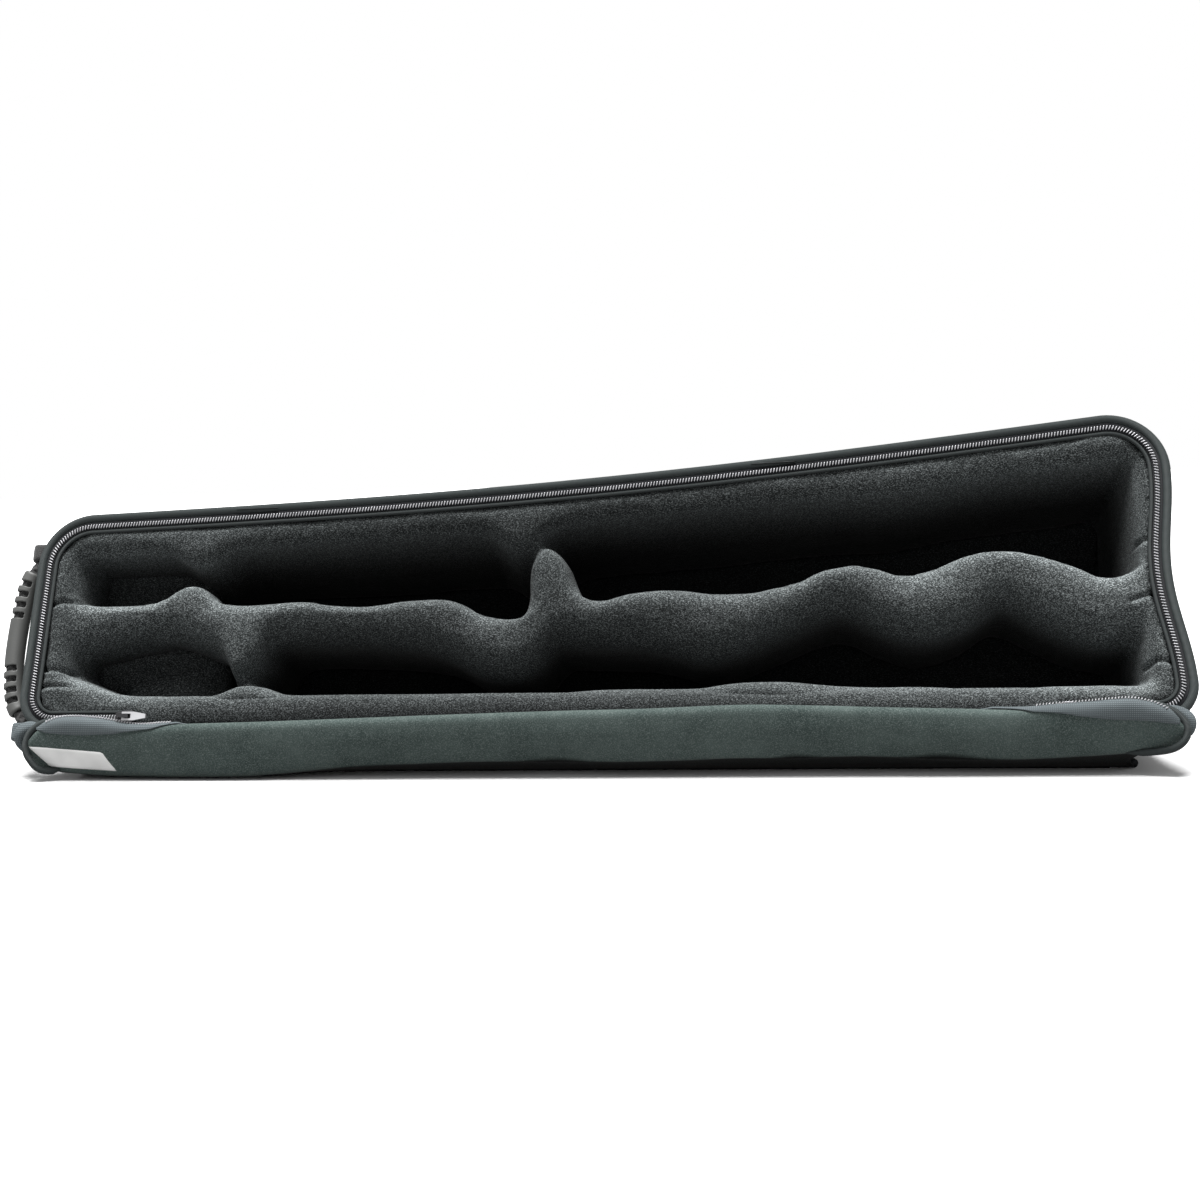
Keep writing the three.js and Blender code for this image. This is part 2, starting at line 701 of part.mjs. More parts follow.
// Strap tabs on the far wall, each with a wire ring

const straightEnd = caseLength / 2 - bellCornerRadius;
const farLine = rimRing(0, 0).filter((p) => p.y > neckWidth / 2 && Math.abs(p.x) < straightEnd);
const farAt = (x) => {
  const next = farLine.findIndex((p) => p.x > x);
  const [a, b] = [farLine[next - 1], farLine[next]];
  return a.clone().lerp(b, (x - a.x) / (b.x - a.x));
};
const tabShares = [0.196, 0.666];
const ringTension = 0.25;
const ringShares = [[0, 0], [0.5, 0], [0.5, -0.35], [0.36, -0.8], [0, -1], [-0.36, -0.8], [-0.5, -0.35], [-0.5, 0]];
for (const [i, side] of ['neck', 'bell'].entries()) {
  const tab = new THREE.Group();
  tab.name = `strap_group_${side}`;
  const x = (tabShares[i] - 0.5) * caseLength;
  const [before, after] = [farAt(x - tabWidth / 2), farAt(x + tabWidth / 2)];
  const drop = (z) => -outerInset(z) + 2 * clearance;
  const proud = pipingOut + pipingRadius + 2 * clearance;
  const low = -tabDrop;
  const bend = -pipingDrop - 2 * pipingRadius;
  const outline = [
    [proud, tabRise], [proud, bend + pipingRadius], [drop(2 * bend) + tabStandOff / 2, 2 * bend], [drop(low), low],
    [drop(low) + tabThickness, low], [drop(2 * bend) + tabThickness + tabStandOff / 2, 2 * bend],
    [proud + tabThickness, bend + pipingRadius], [proud + tabThickness, tabRise],
  ];
  const ringX = drop(low) + rollRadius;
  const strap = rail(outline, -tabWidth / 2, tabWidth / 2);
  const rollAt = [0, ringX, low - rollRadius + tabThickness];
  const roll = wasm.Manifold.cylinder(rollLength, rollRadius, rollRadius, roundSides + 4, true)
    .rotate([0, 90, 0])
    .translate(rollAt);
  const pinRadius = ringWire + clearance;
  const pin = wasm.Manifold.cylinder(rollLength * 2, pinRadius, pinRadius, roundSides * 2, true)
    .rotate([0, 90, 0])
    .translate(rollAt);
  place(tab, `strap_tab_${side}`, strap.add(roll).subtract(pin), cover);
  const wire = new THREE.CatmullRomCurve3(
    ringShares.map((p) => new THREE.Vector3(p[0] * ringWidth, 0, p[1] * ringDepth)),
    true,
    'catmullrom',
    ringTension,
  );
  const rings = Array.from({ length: ringSteps }, (_, k) => {
    const centre = wire.getPointAt(k / ringSteps);
    const tangent = wire.getTangentAt(k / ringSteps);
    const flatWay = new THREE.Vector3(0, 1, 0);
    const across = new THREE.Vector3().crossVectors(tangent, flatWay).normalize();
    return Array.from({ length: ringSides }, (_, j) => {
      const angle = (2 * Math.PI * j) / ringSides;
      const point = centre.clone().addScaledVector(across, ringWire * Math.cos(angle));
      return point.addScaledVector(flatWay, ringWire * Math.sin(angle));
    });
  });
  const ring = new THREE.Group();
  ring.name = `ring_group_${side}`;
  place(ring, `strap_ring_${side}`, skin(rings, true), steel);
  ring.position.fromArray(rollAt);
  tab.add(ring);
  tab.position.set(x, (before.y + after.y) / 2, 0);
  tab.rotation.z = Math.atan2(after.y - before.y, tabWidth);
  tray.add(tab);
}

// Lid in its closed place over the rim, then folded open: a thin flap along the hinge and a padded panel

const hingeY = -hingeReach;
const heelLow = outerRings.map((r) => r[0] * Math.cos(leanBack) + r[1] * Math.sin(leanBack));
const hingeHeight = panelTop - panelBottom + clearance - Math.min(...heelLow)
  + hingeY * Math.cos(leanBack) + foldAxisLift * Math.sin(leanBack);
const axisHeight = foldAxisLift - panelBottom;
const flapLength = (hingeHeight - axisHeight) / Math.sin(foldAngle);
const foldY = hingeY + flapLength;

const flapSide = box(-beyond, beyond, -beyond, foldY - clearance, -beyond, beyond);
const panelSide = rail(
  [
    [foldY + clearance, -overrun],
    [beyond, -overrun],
    [beyond, foldAxisLift + overrun],
    [foldY + clearance + overrun * Math.tan(foldChamfer), foldAxisLift + overrun],
    [foldY + clearance, foldAxisLift],
  ],
  -beyond,
  beyond,
);
const notches = [-1, 1].map((sign) => box(
  Math.min(sign * notchStart, sign * notchEnd),
  Math.max(sign * notchStart, sign * notchEnd),
  -overrun,
  notchDepth - hingeReach,
  -overrun,
  overrun,
));
const notch = wasm.Manifold.union(notches);

const lidFlap = new THREE.Group();
lidFlap.name = 'lid_flap_group';
const lidPanel = new THREE.Group();
lidPanel.name = 'lid_panel_group';

const flapTop = flapLift + flapThickness;
const flapSheet = rimSolid([[-wallOut, flapLift], [-wallOut, flapTop]]);
const hingeTongue = box(-notchStart, notchStart, hingeY - hingeEdge, hingeCornerRadius, flapLift, flapTop);
place(lidFlap, 'lid_flap_cloth', flapSheet.add(hingeTongue).subtract(notch).intersect(flapSide), cover);

const liningTop = flapLift - clearance;
const liningBottom = chainTop + clearance;
const lensShares = [[0.05, 0], [0.2, 0.9], [0.42, 1], [0.7, 0.6], [1, 0]];
const lensStart = chainWidth / 2 + clearance;
for (const [side, sign] of [['neck', -1], ['bell', 1]]) {
  const half = box(Math.min(0, sign * beyond), Math.max(0, sign * beyond), -beyond, beyond, -beyond, beyond);
  const bead = toSolid(rimBand(chainProfile(liningBottom, liningTop, -1)));
  const piece = bead.intersect(half).intersect(flapSide).subtract(notch);
  place(lidFlap, `flap_zip_chain_${side}`, largest(piece), coil);
}
const lens = (side, wider) => {
  const curve = new THREE.SplineCurve(lensShares.map((s) => new THREE.Vector2(
    side * (caseLength / 2 - hingeCornerRadius / 2 - s[0] * lensLength),
    lensStart + notchDepth / 2 + s[1] * lensWidth + wider,
  )));
  const points = curve.getPoints(lensShares.length * curveSteps).map((p) => [p.x, p.y]);
  const low = lensStart + (wider ? -overrun : 0);
  const edge = [[points[points.length - 1][0], low], [points[0][0], low]];
  const outline = [...points, ...edge];
  return prism(side > 0 ? outline : outline.reverse(), liningBottom, liningTop);
};
const liningArea = rimSolid([[lensStart, liningBottom], [lensStart, liningTop]]);
const lenses = [-1, 1].map((sign) => lens(sign, clearance));
const lining = liningArea.intersect(flapSide).subtract(wasm.Manifold.union([...lenses, notch]));
place(lidFlap, 'flap_lining', largest(lining), suede);
for (const [side, sign] of [['neck', -1], ['bell', 1]]) {
  const patch = lens(sign, 0).intersect(liningArea).subtract(notch);
  place(lidFlap, `flap_tape_${side}`, largest(patch), tape);
}

const labelX = -caseLength / 2 + labelInset;
const labelY = foldY - labelReach - labelWidth;
const labelTop = liningBottom - clearance;
const labelSpan = [labelX, labelX + labelLength, labelY, labelY + labelWidth];
place(lidFlap, 'label_plate', box(...labelSpan, labelTop - labelThickness, labelTop), plate);

const lidShell = rimSolid([
  [-wallOut + lidEdgeIn, panelShellBottom],
  [-wallOut, panelShellBottom + lidEdgeRise],
  [-wallOut + lidEdgeIn / 3, panelTop - clearance * 3],
  [-wallOut + lidEdgeIn + lidCrownWidth, panelTop],
]);
place(lidPanel, 'lid_panel_shell', lidShell.intersect(panelSide), cover);
const lidTapeBottom = panelShellBottom - clearance - tapeThickness;
const onPanel = (profile) => toSolid(rimBand(profile)).intersect(panelSide);
const lidTape = flatProfile(-wallOut + lidEdgeIn, tapeIn, lidTapeBottom, lidTapeBottom + tapeThickness);
place(lidPanel, 'lid_zip_tape', onPanel(lidTape), tape);
const lidChainTop = lidTapeBottom - clearance;
place(lidPanel, 'lid_zip_chain', onPanel(chainProfile(lidChainTop - chainHeight, lidChainTop, -1)), coil);
const lidPipingLift = panelBottom + pipingRadius + clearance;
place(lidPanel, 'lid_piping', onPanel(circleProfile(-pipingOut, lidPipingLift, pipingRadius)), cover);
const padIn = chainWidth / 2 + clearance * 2;
const lidPad = rimSolid([
  [padIn + lidCrownWidth, panelBottom],
  [padIn + lidCrownWidth / 4, panelBottom + clearance * 3],
  [padIn, panelBottom + clearance * 7],
  [padIn, panelShellBottom - clearance],
]);
place(lidPanel, 'lid_panel_pad', lidPad.intersect(panelSide), suede);

// Folds a group about a line along x, at rest turned by an angle from the closed lid

function foldAt(group, y, z, angle) {
  const pivot = new THREE.Group();
  pivot.position.set(0, y, z);
  pivot.rotation.x = angle;
  group.position.set(0, -y, -z);
  pivot.add(group);
  return pivot;
}

lidFlap.add(foldAt(lidPanel, foldY, foldAxisLift, foldAngle));
tray.add(foldAt(lidFlap, hingeY, foldAxisLift, lidOpenAngle));

// Stand the tray on its hinge side, leaning back, centred over the floor

tray.rotation.x = Math.PI / 2 - leanBack;
const group = new THREE.Group();
group.name = 'soprano_saxophone_case';
group.add(tray);
group.updateMatrixWorld(true);
const reach = new THREE.Box3().setFromObject(group, true);
const centre = reach.getCenter(new THREE.Vector3());
tray.position.set(-centre.x, -centre.y, -reach.min.z);

export default group;
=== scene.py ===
import json
import math

import bmesh
import bpy
import numpy as np
from mathutils import Matrix, Vector


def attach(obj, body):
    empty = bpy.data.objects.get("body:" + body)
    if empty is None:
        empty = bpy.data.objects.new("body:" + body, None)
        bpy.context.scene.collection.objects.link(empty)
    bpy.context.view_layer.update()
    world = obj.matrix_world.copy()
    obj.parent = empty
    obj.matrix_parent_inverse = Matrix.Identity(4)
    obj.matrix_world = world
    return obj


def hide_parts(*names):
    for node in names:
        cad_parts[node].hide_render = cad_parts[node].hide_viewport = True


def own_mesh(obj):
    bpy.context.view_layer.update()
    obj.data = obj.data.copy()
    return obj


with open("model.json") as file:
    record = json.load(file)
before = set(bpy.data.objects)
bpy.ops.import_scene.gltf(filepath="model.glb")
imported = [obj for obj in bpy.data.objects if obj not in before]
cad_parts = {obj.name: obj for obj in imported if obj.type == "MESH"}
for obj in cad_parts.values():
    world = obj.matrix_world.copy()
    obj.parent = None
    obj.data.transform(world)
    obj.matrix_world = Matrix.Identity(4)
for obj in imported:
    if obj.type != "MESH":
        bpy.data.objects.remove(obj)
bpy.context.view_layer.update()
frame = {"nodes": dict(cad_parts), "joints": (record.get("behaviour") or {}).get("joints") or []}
nodes = frame["nodes"]
joints = {joint["name"]: joint for joint in frame["joints"]}

# Driving dimensions of the case, in millimetres: x along it, u from the hinge side to the far side, v out of
# the opening, and zero on the zip line at the middle of the hinge side
MM = 0.001
CASE_LENGTH = 720
NECK_WIDTH = 128
BELL_WIDTH = 181.4
NECK_END_LEAN = 2
BELL_END_LEAN = 8
FAR_SIDE_SAG = 8.5
BELL_END_SAG = 7
HINGE_CORNER = 15
FAR_CORNER = 28
TRAY_DEPTH = 110
WALL_DRAFT = math.tan(math.radians(8))
LEAN_BACK = math.radians(22)
HINGE_REACH = 11
HINGE_LIFT = 2.5
LID_OPEN = math.radians(248)
LID_FOLD = math.radians(44)
ZIP_END = 290

# The same frame in the row's metres, and the flap and panel of the lid as they lie at rest
hinge_place = Vector(joints["lid_hinge"]["pos_m"])
fold_place = Vector(joints["lid_fold"]["pos_m"])
tray_turn = Matrix.Rotation(math.pi / 2 - LEAN_BACK, 4, "X")
to_hinge = Matrix.Translation((0, HINGE_REACH * MM, -HINGE_LIFT * MM))
TRAY = Matrix.Translation(hinge_place) @ tray_turn @ to_hinge


def turned(base, u, v, angle):
    pivot = Matrix.Translation((0, u * MM, v * MM))
    return base @ pivot @ Matrix.Rotation(angle, 4, "X") @ pivot.inverted()


FLAP = turned(TRAY, -HINGE_REACH, HINGE_LIFT, LID_OPEN)
FOLD_U = (FLAP.inverted() @ fold_place).y / MM
PANEL = turned(FLAP, FOLD_U, HINGE_LIFT, LID_FOLD)


def to_row(points, base):
    """Points in the tray's or the closed lid's millimetres, as row-frame metres."""
    flat = np.asarray(points, float).reshape(-1, 3) * MM
    turn = np.array(base.to_3x3())
    return (flat @ turn.T + np.array(base.translation)).reshape(np.shape(points))


def from_row(points, base):
    turn = np.array(base.to_3x3())
    return (np.asarray(points) - np.array(base.translation)) @ turn / MM


# The zip line round the rim

SIDE_STEPS = 48


def arc(centre, radius, start, turn, steps):
    angles = start - turn * np.linspace(0, 1, steps + 1)
    return np.stack([centre[0] + radius * np.cos(angles), centre[1] + radius * np.sin(angles)], 1)


def rim(inset, whole=False, corner_steps=16):
    """The zip line moved in by a distance, from the zip's end on the hinge side round to its other end.
    The whole line closes along the hinge."""
    half = CASE_LENGTH / 2
    corners = np.array([
        [-half, 0],
        [-half + NECK_END_LEAN, NECK_WIDTH],
        [half - BELL_END_LEAN, BELL_WIDTH],
        [half, 0],
    ])
    radii = [HINGE_CORNER, FAR_CORNER, FAR_CORNER, HINGE_CORNER]
    sags = [0, FAR_SIDE_SAG, BELL_END_SAG, 0]
    ways = np.roll(corners, -1, 0) - corners
    ways /= np.linalg.norm(ways, axis=1)[:, None]
    inward = np.stack([ways[:, 1], -ways[:, 0]], 1)
    froms = corners + inward * inset
    arcs = []
    for i in range(4):
        before, after = ways[i - 1], ways[i]
        gap = froms[i] - froms[i - 1]
        cross = before[0] * after[1] - before[1] * after[0]
        corner = froms[i - 1] + before * (gap[0] * after[1] - gap[1] * after[0]) / cross
        turn = math.acos(before @ after)
        radius = max(radii[i] - inset, HINGE_CORNER / 4)
        start = corner - before * radius * math.tan(turn / 2)
        centre = start + inward[i - 1] * radius
        angle = math.atan2(start[1] - centre[1], start[0] - centre[0])
        arcs.append(arc(centre, radius, angle, turn, corner_steps))
    parts = [[[-ZIP_END, inset]], arcs[0]]
    for i in range(3):
        share = np.linspace(0, 1, SIDE_STEPS + 1)[1:-1, None]
        side = arcs[i][-1] + (arcs[i + 1][0] - arcs[i][-1]) * share
        parts += [side + inward[i] * sags[i] * np.sin(math.pi * share) ** i, arcs[i + 1]]
    parts.append([[ZIP_END, inset]])
    if whole:
        parts.append([[x, inset] for x in np.linspace(ZIP_END, -ZIP_END, SIDE_STEPS)[1:-1]])
    return np.concatenate(parts)


def run_of(line):
    """How far along a line each of its points lies."""
    return np.concatenate([[0], np.cumsum(np.linalg.norm(np.diff(line, axis=0), axis=1))])


def at_runs(line, run, at):
    """Places at lengths along a line."""
    return np.stack([np.interp(at, run, column) for column in line.T], 1)


def at_shares(line, start, stop, count):
    """Points at equal lengths along a line, between two shares of its whole length."""
    run = run_of(line)
    return at_runs(line, run, np.linspace(start, stop, count) * run[-1])


def spaced(line, step):
    """Points at equal steps along a line, with the unit tangent at each."""
    run = run_of(line)
    count = max(2, round(run[-1] / step))
    at = (np.arange(count) + 0.5) * run[-1] / count
    tangent = at_runs(line, run, at + step / 4) - at_runs(line, run, at - step / 4)
    return at_runs(line, run, at), tangent / np.linalg.norm(tangent, axis=1)[:, None]


# Mesh helpers

NOISE_WAVES = 12


def linked(name, data):
    obj = bpy.data.objects.new(name, data)
    bpy.context.collection.objects.link(obj)
    return obj


def mesh_object(name, vertices, faces, smooth=True):
    mesh = bpy.data.meshes.new(name)
    mesh.from_pydata([tuple(v) for v in vertices], [], faces)
    mesh.validate()
    obj = linked(name, mesh)
    if smooth:
        mesh.shade_smooth()
    return obj


def grid_object(name, rows, ring=False, loop=False, caps=False):
    """A mesh over rows of points in row-frame metres. In a ring each row closes on itself, and in a loop the
    last row joins the first. Its UVs are lengths in metres, along the rows' path and along each row."""
    rows = np.asarray(rows, float)
    count, width = rows.shape[:2]
    vertices = list(rows.reshape(-1, 3))
    path = np.concatenate([rows, rows[:1]]) if loop else rows
    along = np.concatenate([[0], np.cumsum(np.linalg.norm(np.diff(path, axis=0), axis=2).mean(1))])
    profile = np.concatenate([rows, rows[:, :1]], 1) if ring else rows
    steps = np.linalg.norm(np.diff(profile, axis=1), axis=2).mean(0)
    across = np.concatenate([[0], np.cumsum(steps)])
    faces = []
    uvs = []
    for i in range(count if loop else count - 1):
        for j in range(width if ring else width - 1):
            k = (i + 1) % count
            m = (j + 1) % width
            faces.append((i * width + j, k * width + j, k * width + m, i * width + m))
            uvs += [(along[i], across[j]), (along[i + 1], across[j])]
            uvs += [(along[i + 1], across[j + 1]), (along[i], across[j + 1])]
    if caps:
        for end in (0, count - 1):
            vertices.append(rows[end].mean(0))
            hub = len(vertices) - 1
            for j in range(width):
                pair = (end * width + j, end * width + (j + 1) % width)
                faces.append((hub, *(pair if end == 0 else pair[::-1])))
                uvs += [(along[end], 0)] * 3
    obj = mesh_object(name, vertices, faces)
    layer = obj.data.uv_layers.new(name="lengths")
    layer.data.foreach_set("uv", np.array(uvs, np.float32).ravel())
    outward(obj)
    return obj


def tube_object(name, rows):
    return grid_object(name, rows, ring=True, caps=True)


def outward(obj):
    grid = bmesh.new()
    grid.from_mesh(obj.data)
    bmesh.ops.recalc_face_normals(grid, faces=grid.faces)
    grid.to_mesh(obj.data)
    grid.free()


def band_rows(profile, whole=False):
    """Rows of a profile of [inset, v] pairs carried round the zip line."""
    loops = [np.insert(rim(inset, whole), 2, v, axis=1) for inset, v in profile]
    return to_row(np.stack(loops, 1), TRAY)


def round_angles(sides):
    return np.linspace(0, 2 * math.pi, sides, endpoint=False)


def round_profile(inset, v, radius):
    angles = round_angles(20)
    return np.stack([inset + radius * np.cos(angles), v + radius * np.sin(angles)], 1)


def tube_rows(points, radius, sides, up=(0, 0, 1)):
    """Rings round a line of points. The radius is one value, or one for each ring or each ring's point."""
    points = np.asarray(points, float)
    tangents = np.gradient(points, axis=0)
    tangents /= np.linalg.norm(tangents, axis=1)[:, None]
    side = np.cross(tangents, up)
    side /= np.linalg.norm(side, axis=1)[:, None]
    lift = np.cross(side, tangents)
    angles = round_angles(sides)
    radius = np.asarray(radius, float)
    radius = np.broadcast_to(radius[:, None] if radius.ndim == 1 else radius, (len(points), sides))[..., None]
    ring = side[:, None] * np.cos(angles)[None, :, None] + lift[:, None] * np.sin(angles)[None, :, None]
    return points[:, None] + radius * ring


def cubic(values, at):
    """Catmull-Rom values at places counted in steps along the first axis of the values."""
    values, at = np.asarray(values, float), np.asarray(at, float)
    values = values.reshape(values.shape + (1,) * (at.ndim + 1 - values.ndim))
    values = np.broadcast_to(values, (len(values), *at.shape))
    padded = np.concatenate([2 * values[:1] - values[1:2], values, 2 * values[-1:] - values[-2:-1]])
    i = np.clip(at.astype(int), 0, len(values) - 2)
    t = at - i
    a, b, c, d = (np.take_along_axis(padded, (i + k)[None], 0)[0] for k in range(4))
    return 0.5 * (2 * b + (c - a) * t + (2 * a - 5 * b + 4 * c - d) * t**2 + (3 * b - a - 3 * c + d) * t**3)


def smooth_line(places, count):
    """A Catmull-Rom line through the places, as equally counted points."""
    places = np.asarray(places, float)
    at = np.linspace(0, len(places) - 1, count)
    return np.stack([cubic(column, at) for column in places.T], 1)


def add_modifier(obj, kind, **values):
    modifier = obj.modifiers.new(kind.lower(), kind)
    for key, value in values.items():
        setattr(modifier, key, value)
    return modifier


def settle(obj):
    """Applies the modifiers to the mesh."""
    graph = bpy.context.evaluated_depsgraph_get()
    mesh = bpy.data.meshes.new_from_object(obj.evaluated_get(graph))
    obj.modifiers.clear()
    obj.data = mesh
    mesh.shade_smooth()
    return obj


def worn_round(obj, voxel, rounds):
    """Remakes a closed skin in voxels of a size in millimetres, and smooths it."""
    add_modifier(obj, "REMESH", mode="VOXEL", voxel_size=voxel * MM)
    add_modifier(obj, "SMOOTH", factor=0.5, iterations=rounds)
    return settle(obj)


def thickened(obj, thickness, offset=0):
    add_modifier(obj, "SOLIDIFY", thickness=thickness * MM, offset=offset)
    return settle(obj)


def vertex_data(obj, kind):
    flat = np.zeros(len(obj.data.vertices) * 3, np.float32)
    obj.data.vertices.foreach_get(kind, flat)
    return flat.reshape(-1, 3)


def coordinates(obj):
    return vertex_data(obj, "co").astype(float)


def normals_of(obj):
    return vertex_data(obj, "normal")


def set_coordinates(obj, points):
    obj.data.vertices.foreach_set("co", np.asarray(points, np.float32).ravel())
    obj.data.update()


def finished(obj, body, surface, slot, *stands_for):
    """Gives a piece its look, and lets it ride and stand for its CAD nodes."""
    obj.data.materials.clear()
    obj.data.materials.append(surface)
    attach(obj, body)
    if stands_for:
        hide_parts(*stands_for)
    return obj


def value_noise(points, seed):
    """Smooth noise from -1 to 1 over points, by a few seeded waves."""
    source = np.random.default_rng(seed)
    total = np.zeros(len(points))
    for _ in range(NOISE_WAVES):
        way = source.normal(size=3)
        total += np.sin(points @ way + source.uniform(0, 2 * math.pi))
    return total / NOISE_WAVES**0.5


# Materials

OUT_OF_TRAY = TRAY.to_3x3() @ Vector((0, 0, 1))
# Fleece: the depth below the rim over which its painted shade runs, the reach along x of its paler-ends ramp,
# and the way that faces turn towards to get painted light.
SHADE_DEPTH = 0.1
END_RAMP_REACH = 0.37
LIT_FACING_WAY = (0, 0.1, 1)
FLEECE_LIFT = (2.6, 2.78, 2.8)
# Depths in y, in metres, over which the suede goes into its painted shadow behind the flap's curl.
UNDER_FLAP_SHADOW_START, UNDER_FLAP_SHADOW_END = -0.0835, -0.0815


def look(name, color, roughness, **sockets):
    material = bpy.data.materials.new(name)
    material.use_nodes = True
    shader = material.node_tree.nodes["Principled BSDF"]
    shader.inputs["Base Color"].default_value = (*color, 1)
    shader.inputs["Roughness"].default_value = roughness
    for socket, value in sockets.items():
        shader.inputs[socket.replace("_", " ")].default_value = value
    return material


def add_node(material, kind, links=None, **values):
    """A shader node. Links feed its inputs from other nodes' outputs, and values set the rest."""
    tree = material.node_tree
    node = tree.nodes.new(kind)
    for key, value in values.items():
        if hasattr(node, key):
            setattr(node, key, value)
        else:
            node.inputs[key.replace("_", " ")].default_value = value
    for key, output in (links or {}).items():
        tree.links.new(output, node.inputs[key])
    return node


def place_output(material, uv=False, scale=(1, 1, 1), turn=(0, 0, 0)):
    place = add_node(material, "ShaderNodeTexCoord").outputs["UV" if uv else "Object"]
    mapping = add_node(material, "ShaderNodeMapping", {"Vector": place}, Scale=scale, Rotation=turn)
    return mapping.outputs["Vector"]


def noise_output(material, place, scale, detail=2.0, roughness=0.5):
    node = add_node(material, "ShaderNodeTexNoise", {"Vector": place}, Scale=scale, Detail=detail,
                    Roughness=roughness)
    return node.outputs["Fac"]


def ramp_output(material, factor, stops):
    """A ramp through stops of a place and a colour, or a place and one number for a grey."""
    node = add_node(material, "ShaderNodeValToRGB", {"Fac": factor})
    ramp = node.color_ramp
    while len(ramp.elements) < len(stops):
        ramp.elements.new(0.5)
    for element, (at, color) in zip(ramp.elements, stops):
        element.position = at
        element.color = (*(color if np.ndim(color) else [color] * 3), 1)
    return node.outputs["Color"]


def share_output(material, value, low, high):
    """How far a value is on its way between two values, from 0 to 1."""
    node = add_node(material, "ShaderNodeMapRange", {"Value": value}, From_Min=low, From_Max=high)
    return node.outputs["Result"]


def along_output(material, vector, way):
    """How far a vector reaches along a way."""
    node = add_node(material, "ShaderNodeVectorMath", operation="DOT_PRODUCT")
    material.node_tree.links.new(vector, node.inputs[0])
    node.inputs[1].default_value = way
    return node.outputs["Value"]


def mix_output(material, factor, a, b, blend="MIX"):
    """A mix of two colours. Each, and the factor, is another node's output or a value of its own."""
    node = add_node(material, "ShaderNodeMix", data_type="RGBA", blend_type=blend)
    for index, value in ((0, factor), (6, a), (7, b)):
        if isinstance(value, bpy.types.NodeSocket):
            material.node_tree.links.new(value, node.inputs[index])
        else:
            node.inputs[index].default_value = value if index == 0 else (*value, 1)
    return node.outputs[2]


def add_bump(material, height, distance, strength):
    bump = add_node(material, "ShaderNodeBump", {"Height": height}, Distance=distance, Strength=strength)
    return bump.outputs["Normal"]


def connect(material, color, normal=None):
    shader = material.node_tree.nodes["Principled BSDF"]
    material.node_tree.links.new(color, shader.inputs["Base Color"])
    if normal is not None:
        material.node_tree.links.new(normal, shader.inputs["Normal"])


def fleece_look():
    """Melange fleece with a raised pile: pale fibres over charcoal. Painted shade darkens it with depth in
    the channels and a little at the very top of the rim; faces turned up get painted light, and faces turned
    down towards the hinge side painted shade. It is also paler towards the case's two ends."""
    material = look("fleece", (0.03, 0.03, 0.0305), 0.95, Sheen_Weight=0.045, Sheen_Roughness=0.35,
                    Specular_IOR_Level=0.1)
    place = place_output(material)
    fibres = noise_output(material, place_output(material, scale=(0.6, 1, 1)), 1750, 2, 0.8)
    clumps = noise_output(material, place, 330, 3)
    drift = noise_output(material, place, 14, 2)
    dark = ramp_output(material, drift, [(0.3, (0.0135, 0.0145, 0.0147)), (0.7, (0.0195, 0.0208, 0.021))])
    fibre = ramp_output(material, fibres, [(0.49, 0), (0.7, 1)])
    clump = ramp_output(material, clumps, [(0.35, 0), (0.8, 0.08)])
    shown = mix_output(material, 1.0, fibre, clump, "ADD")
    color = mix_output(material, shown, dark, (0.3, 0.307, 0.307))
    # Painted shade: darker with depth below the rim into the channels, and a little darker at the rim's very
    # top.
    rim_level = OUT_OF_TRAY.dot(TRAY.translation)
    raised = along_output(material, place_output(material), OUT_OF_TRAY)
    painted_shade_and_tone = ramp_output(material, share_output(material, raised, rim_level - SHADE_DEPTH, rim_level), [
        (0.07, 0.14), (0.2, 0.06), (0.36, 0.07), (0.5, 0.22), (0.66, 0.5), (0.8, 0.75), (0.9, 1), (1.0, 0.46),
    ])
    # Paler towards the case's two ends, by a ramp along x.
    along = add_node(material, "ShaderNodeSeparateXYZ", {"Vector": place}).outputs["X"]
    paler_at_ends = ramp_output(material, share_output(material, along, -END_RAMP_REACH, END_RAMP_REACH), [
        (0.0, 0.9), (0.13, 0.84), (0.3, 0.54), (0.6, 0.52), (0.84, 0.82), (1.0, 1),
    ])
    # Painted light and shade by the way a face turns: lighter turned up, darker turned down towards the hinge
    # side.
    facing = along_output(material, add_node(material, "ShaderNodeTexCoord").outputs["Normal"], LIT_FACING_WAY)
    suede_nap_fleece_facing_light = ramp_output(material, share_output(material, facing, -1.0, 1.0), [
        (0.05, 0.42), (0.3, 0.5), (0.62, 0.46), (0.84, 0.9), (0.97, 1),
    ])
    # The painted shade is multiplied by the painted facing light, the paler ends and the overall lift.
    for shade_and_tone_factor in (suede_nap_fleece_facing_light, paler_at_ends, FLEECE_LIFT):
        painted_shade_and_tone = mix_output(material, 1.0, painted_shade_and_tone, shade_and_tone_factor, "MULTIPLY")
    shown = mix_output(material, 1.0, color, painted_shade_and_tone, "MULTIPLY")
    height = mix_output(material, 0.5, fibres, clumps)
    connect(material, shown, add_bump(material, height, 0.0011, 0.7))
    return material


def cover_look(name, color, pitch):
    """A woven cover: a fine basket of warp and weft threads with a little wear in its tone."""
    material = look(name, color, 0.8, Sheen_Weight=0.05, Specular_IOR_Level=0.2)
    place = place_output(material)
    threads = [
        add_node(material, "ShaderNodeTexWave", {"Vector": place}, bands_direction=way,
                 Scale=1 / (pitch * math.pi * 2), Distortion=0.6, Detail=1).outputs["Fac"]
        for way in "XZ"
    ]
    weave = mix_output(material, 1.0, *threads, "MULTIPLY")
    drift = noise_output(material, place, 30, 3)
    tone = ramp_output(material, drift, [(0.3, [c * 0.8 for c in color]), (0.75, [c * 1.25 for c in color])])
    shown = mix_output(material, weave, tone, [c * 1.9 for c in color])
    connect(material, shown, add_bump(material, weave, 0.0004, 0.6))
    return material


